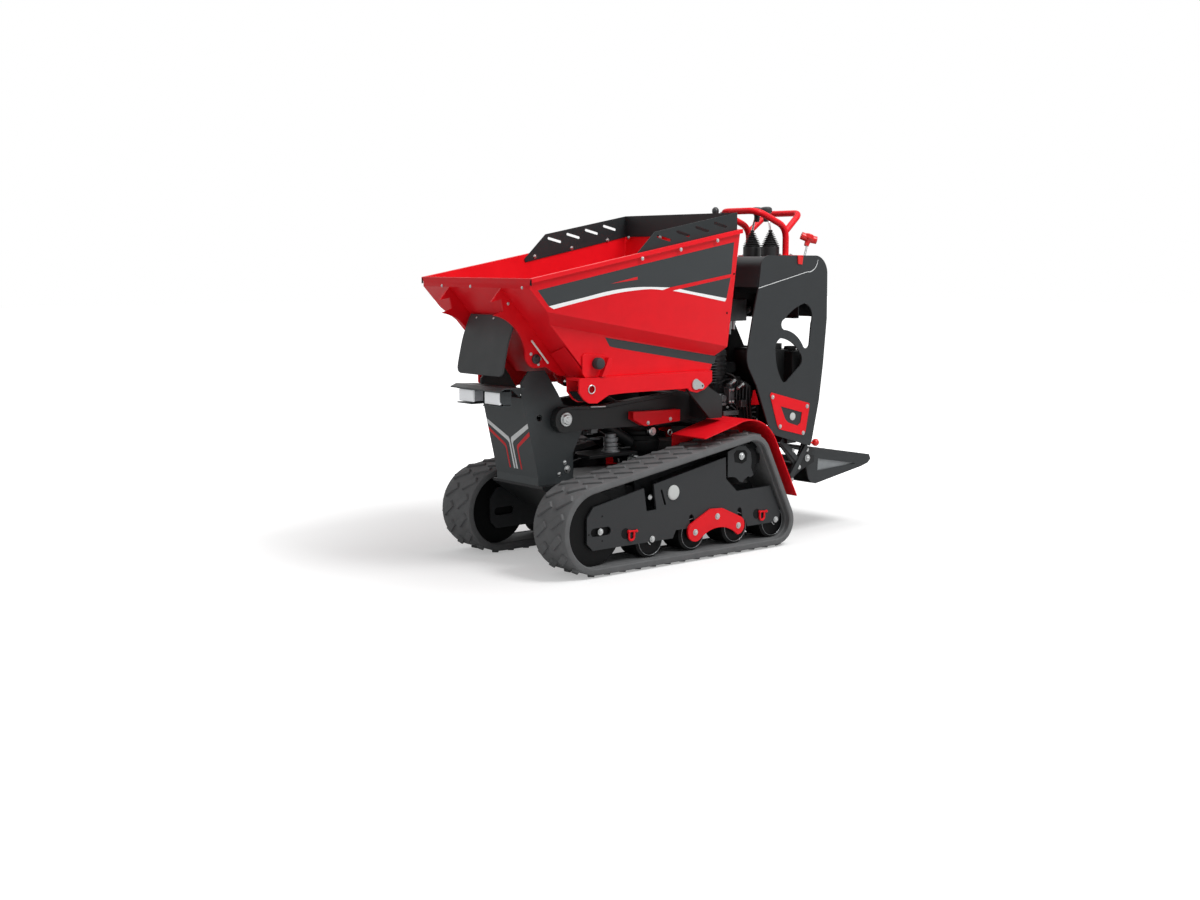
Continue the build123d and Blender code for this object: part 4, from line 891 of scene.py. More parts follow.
    def fittings(self, sign: int, side_name: str) -> None:
        """Make the bush ring, black patches of painted shade in openings, pin keeper, latch disc, rib bolts
        and doubler of one side.

        Args:
            sign: 1 for the left side, -1 for the right.
            side_name: the word for that side.
        """
        out = outward(sign)
        rings = Shape(f"bush_ring_{side_name}")
        rings.ring(at(self.bush[0], sign * (self.rail + 1), self.bush[1]), out, 14.5, 2.2)
        rings.finish(ZINC, "skip", smooth=True)
        # painted shade: black patches in the rim's open end, a block by the bush, and the keeper's hole
        dark = Shape(f"painted_shade_patches_{side_name}")
        opening = ((323.5, 1010), (332.5, 1007), (332.5, 1026), (326, 1027))
        dark.prism([at(701.6, sign * y, z) for y, z in opening], Vector((-1.5 * MM, 0, 0)))
        dark.slab([(478, 642), (456, 616), (436, 604), (436, 640)], sign * (self.rail - 9), 50)
        keeper = Shape(f"pin_keeper_{side_name}")
        outline = round_about((-66, 641), 20, 100, -20, 12) + round_about((-94, 633), 10.5, 248, -28, 6)
        keeper.slab(outline, sign * (self.rail + 5.5), 5.2)
        keeper.lathe(at(self.pivot[0], sign * (self.rail - 74), self.pivot[1]), out,
                     ((0, 13), (2, 15), (73, 15), (74, 14)), 24)
        keeper.finish(ZINC, "skip", ("skip_pins",) if sign > 0 else (), bevel_mm=0.6)
        dark.lathe(at(-96, sign * (self.rail + 5.4), 634), out, ((0, 3.6), (0.3, 3.4)), 12)
        dark.finish(BLACK_AND_PAINTED_SHADE, "skip")
        latch = Shape(f"rib_latch_{side_name}")
        latch.lathe(at(556, sign * self.rib, 752), out, ((0, 17), (5, 17), (6.5, 15), (7, 9), (10, 8)), 24)
        latch.finish(GLOSS_KNOB, "skip", smooth=True)
        side_bolts(f"rib_bolts_{side_name}", "skip", sign, self.rib,
                   ((576, 770, 9), (544, 733, 9), (537, 753, 9), (671, 945, 9)))
        wall = Vector((0.679, 0, 0.734))
        lift = Vector((0.734, 0, -0.679)) * 2 * MM
        doubler = Shape(f"front_doubler_{side_name}")
        foot = at(422, 0, 690)
        edge = [foot + wall * up * MM + Vector((0, sign * y * MM, 0)) for up, y in
                ((0, 164), (108, 164), (147, 279), (0, 279))]
        doubler.prism(edge, lift)
        doubler.finish(RED_COAT, "skip", bevel_mm=0.6)

    def prop_rod(self) -> None:
        """Lay the white prop rod along the left rib."""
        rod = Shape("prop_rod")
        y = self.rib + 12
        rod.tube([at(582, y, 817), at(545, y, 775), at(511, y, 736)], 3.6, 12)
        rod.finish(WHITE_ROD, "skip", smooth=True)


# ---------------------------------------------------------------- tracks
@dataclass(frozen=True)
class Belt:
    """Moulded rubber belt round its three wheels, with low slanting lugs in two staggered rows.

    Attributes:
        wheels: forward, up and radius of the inner face round each wheel, counter-clockwise.
        middle: distance of the belt's middle line from the machine's middle plane.
        half_width: half its width.
        carcass: thickness of the carcass.
        lug: length, width and height of one lug.
        lug_slant: angle by which the lugs lie askew, in degrees.
        pitch: distance from lug to lug of one row.
        row: distance of each row of lugs from the belt's middle line.
    """

    wheels: tuple[tuple[float, float, float], ...] = ((-438, 98, 64), (444, 166, 132), (-300, 345, 75))
    middle: float = 285
    half_width: float = 90
    carcass: float = 25
    lug: tuple[float, float, float] = (74, 26, 6.8)
    lug_slant: float = 38
    pitch: float = 72
    row: float = 43

    def stations(self, outside: float, step: float = 5) -> list[tuple[float, float, float]]:
        """Places round the loop.

        Args:
            outside: distance outside the wheels' rims.
            step: angle between places on a wheel, in degrees.
        Returns:
            Forward, up and outward angle of each place, counter-clockwise.
        """
        leaves = []
        for (x1, z1, r1), (x2, z2, r2) in zip(self.wheels, self.wheels[1:] + self.wheels[:1]):
            leaves.append(math.atan2(z2 - z1, x2 - x1) - math.acos((r1 - r2) / math.hypot(x2 - x1, z2 - z1)))
        places = []
        for i, (x, z, radius) in enumerate(self.wheels):
            sweep = (leaves[i] - leaves[i - 1]) % (2 * math.pi)
            count = math.ceil(math.degrees(sweep) / step)
            for k in range(count + 1):
                angle = leaves[i - 1] + sweep * k / count
                reach = radius + outside
                places.append((x + reach * math.cos(angle), z + reach * math.sin(angle), angle))
        return places

    def carcass_piece(self, sign: int, side_name: str) -> bpy.types.Object:
        """Sweep the carcass, with rounded edges and a groove inside each, round the loop of one side.

        Args:
            sign: 1 for the left side, -1 for the right.
            side_name: the word for that side.
        Returns:
            The carcass.
        """
        half, thick = self.half_width, self.carcass
        profile = [(0, half - 28), (3, half - 24), (3, half - 10), (0, half - 6), (0, half - 4), (4, half),
                   (thick - 9, half), (thick - 3, half - 2), (thick, half - 8)]
        section = profile + [(g, -w) for g, w in reversed(profile)]
        shape = Shape(f"{side_name}_belt_carcass")
        shape.skin([[at(x + g * math.cos(a), sign * self.middle + w, z + g * math.sin(a))
                     for g, w in section] for x, z, a in self.stations(0)], closed=True)
        return shape.finish(BELT_RUBBER, "chassis", (f"{side_name}_track",), smooth=True)

    def lug_seats(self, sign: int) -> list[tuple[float, float, float, float]]:
        """Forward, left, up and outward angle of each lug of one side.

        Args:
            sign: 1 for the left side, -1 for the right.
        Returns:
            One entry for each lug.
        """
        places = self.stations(self.carcass, 2)
        loop = places + [(*places[0][:2], places[0][2] + 2 * math.pi)]
        runs = [math.dist(a[:2], b[:2]) for a, b in zip(loop, loop[1:])]
        count = round(sum(runs) / self.pitch)
        found = []
        for row, shift in ((1, 0.0), (-1, 0.5)):
            for index in range(count):
                left = (index + shift) * sum(runs) / count
                place = 0
                while left > runs[place]:
                    left -= runs[place]
                    place += 1
                share = left / runs[place] if runs[place] else 0
                (x1, z1, a1), (x2, z2, a2) = loop[place], loop[place + 1]
                turn = a1 + ((a2 - a1 + math.pi) % (2 * math.pi) - math.pi) * share
                found.append((x1 + (x2 - x1) * share, sign * self.middle + row * self.row,
                              z1 + (z2 - z1) * share, turn))
        return found

    def lugs(self, sign: int, side_name: str) -> bpy.types.Object:
        """Set the lugs of one side with a geometry tree.

        Args:
            sign: 1 for the left side, -1 for the right.
            side_name: the word for that side.
        Returns:
            The lugs as one piece.
        """
        places = self.lug_seats(sign)
        carrier = seats(f"{side_name}_lug_seats", [at(x, y, z) for x, y, z, _ in places],
                        "turn", [turn for *_, turn in places])
        length, width, height = self.lug
        made = grow(f"{side_name}_belt_lugs", carrier, self.tree(), {
            "Length": length * MM, "Width": width * MM, "Height": height * MM,
            "Slant": math.radians(self.lug_slant), "Finish": BELT_RUBBER.build()})
        return settle(made, f"{side_name}_belt_lugs", BELT_RUBBER, "chassis", bevel_mm=1.6)

    @staticmethod
    def tree() -> bpy.types.GeometryNodeTree:
        """The tree that stands a tapered, slanting lug on each seat.

        Returns:
            The tree, built once.
        """
        known = bpy.data.node_groups.get("belt_lugs")
        if known:
            return known
        tree, given = new_tree("belt_lugs", (
            ("Length", "NodeSocketFloat", 0.08), ("Width", "NodeSocketFloat", 0.02),
            ("Height", "NodeSocketFloat", 0.006), ("Slant", "NodeSocketFloat", 0.4),
            ("Finish", "NodeSocketMaterial", 0)))
        # a four-sided frustum, whose corners lie half the root of two from its middle: its foot is one wide
        block = add_node(tree, "GeometryNodeMeshCone", {
            "Vertices": 4, "Radius Top": 0.63, "Radius Bottom": 0.7071, "Depth": 1.3})
        square = moved(tree, block.outputs["Mesh"], Translation=(0, 0, -0.3), Rotation=(0, 0, math.pi / 4))
        size = add_node(tree, "ShaderNodeCombineXYZ", {
            "X": given["Width"], "Y": given["Length"], "Z": given["Height"]})
        sized = moved(tree, square, Scale=size.outputs["Vector"])
        askew = add_node(tree, "ShaderNodeCombineXYZ", {"Z": given["Slant"]})
        slanted = moved(tree, sized, Rotation=askew.outputs["Vector"])
        facing = moved(tree, slanted, Rotation=(0, math.pi / 2, 0))
        turn = add_node(tree, "GeometryNodeInputNamedAttribute", {"Name": "turn"}, data_type="FLOAT")
        back = add_node(tree, "ShaderNodeMath", {0: turn.outputs["Attribute"], 1: -1.0}, operation="MULTIPLY")
        swing = add_node(tree, "ShaderNodeCombineXYZ", {"Y": back.outputs[0]})
        repeat(tree, given, facing, Rotation=swing.outputs["Vector"])
        return tree


@dataclass(frozen=True)
class TrackDress:
    """Belts, drive covers, shackles, bolts and caps of the two tracks.

    Attributes:
        face: distance of the frames' outer plates from the middle plane.
        bogie: thickness of the bogie plates.
        shackles: forward places of the lashing shackles.
        shackle_up: height of their bows.
        rollers: forward places of the road and tail rollers.
        roller_up: height of their axles.
        hub: forward and up of the drive hub's bolt.
        belt: the belt that both sides have.
    """

    face: float = 345
    bogie: float = 8.3
    shackles: tuple[float, float] = (280, -374)
    shackle_up: float = 121
    rollers: tuple[float, ...] = (184, -22, -240, -438)
    roller_up: float = 98
    hub: Point = (-263, 364)
    belt: Belt = Belt()

    def build(self) -> None:
        """Make all the pieces of the tracks."""
        for sign, side_name in NAMED_SIDES:
            self.belt.carcass_piece(sign, side_name)
            self.belt.lugs(sign, side_name)
            self.drive_cover(sign, side_name)
            self.shackle_pair(sign, side_name)
            self.fasteners(sign, side_name)
            self.roller_rims(sign, side_name)

    def drive_cover(self, sign: int, side_name: str) -> None:
        """Make the cover plate over the drive, a black sheet of painted shade in its hexagonal recess, and
        the hub's bolt.

        Args:
            sign: 1 for the left side, -1 for the right.
            side_name: the word for that side.
        """
        cover = Shape(f"drive_cover_{side_name}")
        cover.slab([(-192, 386), (-193, 290), (-219, 289), (-237, 284), (-253, 269), (-271, 263), (-281, 275),
                    (-300, 284), (-312, 280), (-328, 287), (-314, 318), (-318, 341), (-312, 375), (-283, 402),
                    (-250, 404)], sign * (self.face + 3), 3)
        cover.finish(PLATE_COAT, "chassis", bevel_mm=0.8)
        # painted shade: a thin black sheet in the hub's recess
        recess = Shape(f"hub_recess_shade_{side_name}")
        recess.slab([(-222, 375), (-237, 388), (-281, 385), (-293, 372), (-289, 345), (-266, 335),
                     (-228, 344)], sign * (self.face + 3.5), 0.4)
        recess.finish(BLACK_AND_PAINTED_SHADE, "chassis")
        side_bolts(f"hub_bolt_{side_name}", "chassis", sign, self.face + 3.5, ((*self.hub, 20),), domed=True)

    def shackle_pair(self, sign: int, side_name: str) -> None:
        """Make the bow shackles of one side with their pins, on black discs of painted shade.

        Args:
            sign: 1 for the left side, -1 for the right.
            side_name: the word for that side.
        """
        y = sign * (self.face + 5)
        bows = Shape(f"bow_shackles_{side_name}")
        shade_discs = Shape(f"shackle_shade_discs_{side_name}")
        for u in self.shackles:
            z = self.shackle_up
            legs = [(-12, 20), *arc((-12, 3), (0, -11), (12, 3), 8), (12, 17)]
            bows.tube([at(u - a, y, z + b) for a, b in legs], 4.2, 10)
            bows.tube([at(u + 15, y, z + 22), at(u - 26, y, z + 20)], 3.4, 10)
            for a, b, r in ((12, 21, 6.5), (-23, 20, 5.5)):
                ball = [(r * along, r * wide) for along, wide in
                        ((0, 0.5), (0.4, 0.9), (1, 1), (1.6, 0.8), (1.9, 0.3))]
                bows.lathe(at(u + a, y - sign * r * 0.9, z + b), outward(sign), ball, 12)
            # painted shade: a black disc behind each shackle, where the frame's opening lies in shade
            shade_discs.lathe(at(u + 24, sign * (self.face + 0.05), z + 15), outward(sign),
                       ((0, 19), (0.6, 19), (0.9, 17)), 20)
        bows.finish(RED_COAT, "chassis", ("lashing_shackles",) if sign > 0 else (), smooth=True)
        shade_discs.finish(BLACK_AND_PAINTED_SHADE, "chassis")

    def fasteners(self, sign: int, side_name: str) -> None:
        """Set the frame's and the bogie's bolts, black discs of painted shade in the frame's holes, its pale
        cap and the axle clips.

        Args:
            sign: 1 for the left side, -1 for the right.
            side_name: the word for that side.
        """
        frame_bolts = [(u, sign * self.face, z, 17) for u, z in ((178, 101), (-454, 102), (418, 155))]
        bogie_bolts = [(u, sign * (self.face + self.bogie), z, 17) for u, z in
                       ((-25, 103), (-136, 150), (-245, 104))]
        slot_bolts = [(176, sign * (self.face - 15), 251, 14), (113, sign * (self.face - 15), 269, 8)]
        # painted shade: a black disc in each hole of the frame
        holes = Shape(f"frame_hole_shade_{side_name}")
        for u, z in ((410, 209), (410, 122), (356, 87), (470, 150)):
            holes.lathe(at(u, sign * self.face, z), outward(sign), ((0, 3.6), (0.3, 3.4)), 12)
        holes.finish(BLACK_AND_PAINTED_SHADE, "chassis")
        Bolts(f"track_bolts_{side_name}", "chassis", frame_bolts + bogie_bolts + slot_bolts,
              (0, sign, 0)).build()
        cap = Shape(f"frame_cap_{side_name}")
        cap.lathe(at(78, sign * self.face, 260), outward(sign), ((0, 27), (3, 27), (5, 25), (6, 20)))
        cap.finish(PALE_CAP, "chassis", smooth=True)
        clips = Shape(f"axle_clips_{side_name}")
        for u, z in ((178, 101), (-454, 102)):
            bow = [at(u + 23 * math.cos(t), sign * (self.face + 1), z + 20 * math.sin(t))
                   for t in (math.radians(-20 - 9 * k) for k in range(6))]
            clips.tube(bow, 1.6, 8)
        clips.finish(ZINC, "chassis", smooth=True)

    def roller_rims(self, sign: int, side_name: str) -> None:
        """Make the turned rims that show on the rollers' outer faces.

        Args:
            sign: 1 for the left side, -1 for the right.
            side_name: the word for that side.
        """
        rims = Shape(f"roller_rims_{side_name}")
        for u in self.rollers:
            rims.ring(at(u, sign * (self.face - 3.6), self.roller_up), outward(sign), 55, 1.2)
        rims.finish(WORN_IRON, "chassis", smooth=True)


# ---------------------------------------------------------------- tower and arms
@dataclass(frozen=True)
class TowerDress:
    """Stripes, lamps and pins of the tower.

    Attributes:
        foot: forward and up of the front plate's lower edge.
        head: forward and up of its upper edge.
        plate: distance of the side plates' outer faces from the middle plane.
        film: thickness of the vinyl films.
        pin: forward, left and up of the arms' pin ends.
        lamp: forward, left and up of a lamp's front middle.
        lamp_size: width, height and depth of a lamp's lit block.
    """

    foot: Point = (521, 327)
    head: Point = (587, 615)
    plate: float = 125
    film: float = 0.4
    pin: tuple[float, float, float] = (424, 160.2, 533)
    lamp: tuple[float, float, float] = (686, 79, 617)
    lamp_size: tuple[float, float, float] = (90, 44, 9)

    def build(self) -> None:
        """Make all the tower's pieces."""
        self.stripes()
        self.lamps()
        for sign, side_name in NAMED_SIDES:
            pin = Shape(f"arm_pin_head_{side_name}")
            pin.lathe(at(self.pin[0], sign * self.pin[1], self.pin[2]), outward(sign),
                      ((0, 25), (4, 25), (5, 24), (5, 18), (12, 18), (13.5, 16), (13.5, 9), (16, 8),
                       (16.5, 5)), 32)
            pin.finish(ZINC, "chassis", smooth=True)
            side_bolts(f"tower_bolts_{side_name}", "chassis", sign, self.plate,
                       ((402, 374, 12), (391, 349, 20), (427, 334, 12)))

    def stripes(self) -> None:
        """Lay the white and red stripes, which split upwards in a Y."""
        rise = Vector((self.head[0] - self.foot[0], self.head[1] - self.foot[1])).normalized()
        out = Vector((rise.y, 0, -rise.x)) * MM * self.film

        def on_front(left: float, up: float) -> Vector:
            """Place on the front plate, up along its slope from its lower edge."""
            return at(self.foot[0] + rise.x * up, left, self.foot[1] + rise.y * up)

        white = ((124, 203), (124, 186), (17, 128), (11, 120), (12, 24), (3.5, 24), (3.5, 132), (8, 143))
        red = ((124, 173), (124, 158), (43, 107), (38, 98), (38, 24), (31, 24), (31, 104), (35, 115))
        for name, finish, outline in (("tower_white_stripes", SILVER_FILM, white),
                                      ("tower_red_stripes", RED_FILM, red)):
            shape = Shape(name)
            for sign in SIDES:
                shape.prism([on_front(sign * y, s) + out * 0.02 for y, s in outline], out)
            shape.finish(finish, "chassis")

    def lamps(self) -> None:
        """Make the two work lamps: lit blocks, finned housings, a cheek and hood plates."""
        u, y0, z = self.lamp
        width, height, depth = self.lamp_size
        lit, body, plates = Shape("lamp_blocks"), Shape("lamp_housings"), Shape("lamp_cheeks")
        for sign in SIDES:
            low, high = sign * y0 - width / 2, sign * y0 + width / 2
            lit.box((u - depth, low + 1, z - height / 2 + 1), (u, high - 1, z + height / 2 - 1))
            body.box((u - 45, low + 3, z - height / 2 + 3), (u - depth, high - 3, z + height / 2 - 3))
            for k in range(6):
                y = low + 12 + k * (width - 24) / 5
                body.box((u - 52, y - 2, z - height / 2 + 5), (u - 44, y + 2, z + height / 2 - 5))
            plates.box((u - 47, low - 2, z + height / 2 + 0.2), (u + 5, high + 3, z + height / 2 + 2.4))
        plates.slab([(u - 50, z + 24), (u - 2, z + 24), (u - 2, z - 10), (u - 16, z - 22), (u - 50, z - 22)],
                    y0 + width / 2 + 2.5, 2)
        lit.finish(LAMP_LENS, "chassis", ("work_lamps",), bevel_mm=2.5, smooth=True)
        body.finish(LAMP_BODY, "chassis", bevel_mm=0.8)
        plates.finish(TOWER_COAT, "chassis", bevel_mm=0.6)


@dataclass(frozen=True)
class ArmDress:
    """Bolts, seams and pipework of the lift arms and the deck under them.

    Attributes:
        face: distance of the arms' outer faces from the middle plane.
        bracket: distance of the red channels' outer faces from the middle plane.
    """

    face: float = 160
    bracket: float = 188.3

    def build(self) -> None:
        """Make the arms' pieces and the deck's valve."""
        for sign, side_name in NAMED_SIDES:
            side_bolts(f"channel_bolts_{side_name}", "lift", sign, self.bracket,
                       ((62, 498, 11), (-48, 505, 11)))
            seam = Shape(f"arm_seam_{side_name}")
            seam.tube([at(u, sign * (self.face + 0.1), z) for u, z in ((396, 566), (262, 560), (124, 571),
                                                                      (-60, 585), (-230, 596))], 1.3, 8)
            seam.finish(ARM_COAT, "lift", smooth=True)
            stop = Shape(f"arm_stop_{side_name}")
            stop.tube([at(315, sign * (self.face + 3), 571), at(246, sign * (self.face + 3), 569)], 3.4, 10)
            stop.finish(ZINC, "lift", smooth=True)
        self.deck_valve()

    def deck_valve(self) -> None:
        """Make the swivel manifold, the pump and the pipes on the deck behind the tower."""
        manifold = Shape("deck_manifold")
        manifold.lathe(at(202, 140, 392), UP,
                       ((0, 34), (10, 34), (12, 27), (22, 27), (23, 24), (27, 24), (28, 27), (38, 27),
                        (39, 24), (43, 24), (44, 27), (58, 27), (60, 20), (72, 20), (74, 14)), 28)
        for y, up in ((70, 0), (96, 8)):
            manifold.box((200, y - 8, 436 + up), (268, y + 8, 442 + up))
            manifold.box((236, y - 12, 458 + up), (266, y + 12, 474 + up))
        manifold.finish(DIE_CAST, "chassis", bevel_mm=1.2)
        ends = Shape("deck_unions")
        ends.lathe(at(19, 150, 461), LEFT, ((0, 17), (14, 17), (16, 15), (16, 9), (20, 8)), 24)
        ends.ring(at(-66, 166, 452), LEFT, 10, 2.6)
        ends.ring(at(236, 122, 486), UP, 12, 3)
        ends.finish(ZINC, "chassis", smooth=True)
        pump = Shape("deck_pump")
        pump.lathe(at(8, 70, 384), UP,
                   ((0, 74), (8, 78), (40, 78), (44, 72), (60, 72), (64, 78), (78, 78), (86, 60)), 36)
        pump.prism([at(u, y, 387) for u, y in ((120, 60), (300, 60), (345, 110), (345, 196), (120, 196))],
                   Vector((0, 0, 12 * MM)))
        pump.finish(CAST_ENAMEL, "chassis", bevel_mm=2.0, smooth=True)
        pipes = Shape("deck_pipes")
        for k in range(4):
            y = 60 + 14 * k
            pipes.tube(bent([at(120, y, 400), at(60 - 8 * k, y, 400), at(-10 - 12 * k, y, 470),
                             at(-150, y, 470), at(-330, y, 455)], 34), 6, 10)
        pipes.finish(PIPE_BLACK, "chassis", smooth=True)


# ---------------------------------------------------------------- engine bay
@dataclass(frozen=True)
class EngineDress:
    """What shows of the engine between the skip and the console.

    Attributes:
        fan: forward and up of the fan cover's middle.
        fan_face: distance of the fan cover's face from the middle plane.
        canister: forward, left and radius of the air filter's canister.
    """

    fan: Point = (-430, 500)
    fan_face: float = 170
    canister: tuple[float, float, float] = (-370, 95, 40)

    def build(self) -> None:
        """Make the fan cover, the filter, the pipes, the valve bank and the air duct."""
        self.fan_cover()
        self.filter_canister()
        self.pipework()
        self.valve_bank()
        self.air_duct()

    def fan_cover(self) -> None:
        """Make the fan cover with its radial slats, and the starter's cap."""
        u, z = self.fan
        shell = Shape("fan_cover")
        shell.lathe(at(u, self.fan_face, z), LEFT, ((0, 96), (6, 96), (12, 90), (12, 78), (4, 76), (4, 30),
                                                   (16, 28), (20, 22), (21, 8)), 40)
        shell.finish(CAST_ENAMEL, "chassis", smooth=True)
        slats = Shape("fan_slats")
        for k in range(24):
            t = 2 * math.pi * k / 24
            along = Vector((math.cos(t), 0, math.sin(t)))
            across = Vector((-math.sin(t), 0, math.cos(t))) * 2.4 * MM
            start = at(u, self.fan_face + 4, z) + along * 30 * MM
            end = at(u, self.fan_face + 4, z) + along * 78 * MM
            slats.prism([start - across, end - across, end + across, start + across], LEFT * 6 * MM)
        slats.finish(DIE_CAST, "chassis", bevel_mm=0.5)
        side_bolts("fan_bolts", "chassis", 1, self.fan_face + 12,
                   [(*place, 9) for place in round_about(self.fan, 86, 20, 60, 6)])

    def filter_canister(self) -> None:
        """Make the ribbed canister, the castings round it and the oil filler's guard."""
        u, y, radius = self.canister
        can = Shape("filter_canister")
        profile = [(0, radius - 3)]
        for k in range(7):
            base = 10 + 18 * k
            profile += [(base, radius - 3), (base + 3, radius), (base + 9, radius), (base + 12, radius - 3)]
        profile += [(142, radius - 3), (147, radius - 12)]
        can.lathe(at(u, y, 600), UP, profile, 32)
        can.finish(POLYETHYLENE, "chassis", smooth=True)
        castings = Shape("engine_castings")
        castings.box((-362, 176, 546), (-334, 206, 606))
        castings.box((-356, 182, 606), (-340, 200, 622))
        castings.box((-326, 150, 540), (-284, 200, 550))
        castings.box((-388, 192, 500), (-308, 204, 518))
        castings.box((-420, 192, 530), (-392, 214, 556))
        castings.lathe(at(-318, 150, 566), LEFT, ((0, 18), (30, 18), (32, 14), (46, 14)), 20)
        for k in range(8):
            castings.box((-336, 64, 620 + 11 * k), (-296, 138, 624 + 11 * k))
        castings.finish(DIE_CAST, "chassis", bevel_mm=1.5)
        side_bolts("casting_bolts", "chassis", 1, 206, [(u, z, 9) for z in (553, 598) for u in (-356, -340)])
        stay = Shape("oil_filler_guard")
        stay.slab([(-468, 590), (-476, 590), (-500, 532), (-458, 533), (-458, 545)], 204, 5)
        stay.finish(RED_COAT, "chassis", bevel_mm=0.8)

    def pipework(self) -> None:
        """Bend the steel pipes between the engine and the console, with their plated unions."""
        pipes, unions = Shape("engine_pipes"), Shape("pipe_unions")
        for k in range(5):
            y = 178 + 4 * k
            u = -404 - 14 * k
            pipes.tube(bent([at(-330, 40 + 20 * k, 640 - 9 * k), at(-372 - 8 * k, 60 + 20 * k, 676 - 9 * k),
                             at(u, y, 640 - 8 * k), at(u + 6, y, 560), at(u - 10, y, 440)], 30), 6, 10)
        for start in (at(-396, 206, 612), at(-350, 206, 628)):
            unions.tube([start, start + Vector((24, 6, -10)) * MM], 7, 12)
            unions.lathe(start, Vector((-26, -6, 10)), ((0, 10), (9, 10), (10, 8), (16, 8)), 6)
        pipes.finish(PIPE_BLACK, "chassis", smooth=True)
        unions.finish(ZINC, "chassis", smooth=True)

    def valve_bank(self) -> None:
        """Make the caps, springs and unions on the control valve under the dash."""
        caps = Shape("valve_caps")
        for k in (-1, 0, 1):
            for u, aim in ((-468, 1), (-558, -1)):
                caps.lathe(at(u, 44 * k, 895), Vector((aim, 0, 0)),
                           ((0, 17), (12, 17), (13, 13), (30, 13), (31, 16), (38, 16), (40, 12)), 18)
            for y in (44 * k - 11, 44 * k + 11):
                caps.lathe(at(-500, y, 854), Vector((0, 0, -1)), ((0, 10), (9, 10), (10, 7), (34, 7)), 12)
                caps.lathe(at(-480, y, 853), Vector((0, 0, -1)), ((0, 8), (30, 8), (31, 5), (52, 5)), 12)
        caps.finish(ZINC, "chassis", smooth=True)

    def air_duct(self) -> None:
        """Make the duct of the cooling air, between the engine and the console's open back."""
        duct = Shape("air_duct")
        duct.slab([(-515, 868), (-540, 850), (-597, 752), (-640, 748), (-655, 640), (-640, 430),
                   (-500, 430)], 20, 24)
        # its back slopes to clear the platform when that is folded up
        housing = ((-598, 440), (-598, 740), (-718, 740), (-718, 560), (-690, 440))
        duct.prism([at(u, 0, z) for u, z in housing], Vector((0, 284 * MM, 0)))
        duct.lathe(at(-640, 230, 740), UP, ((0, 22), (4, 24), (14, 24), (17, 20)), 24)
        duct.finish(BLACK_AND_PAINTED_SHADE, "chassis", bevel_mm=3.0)


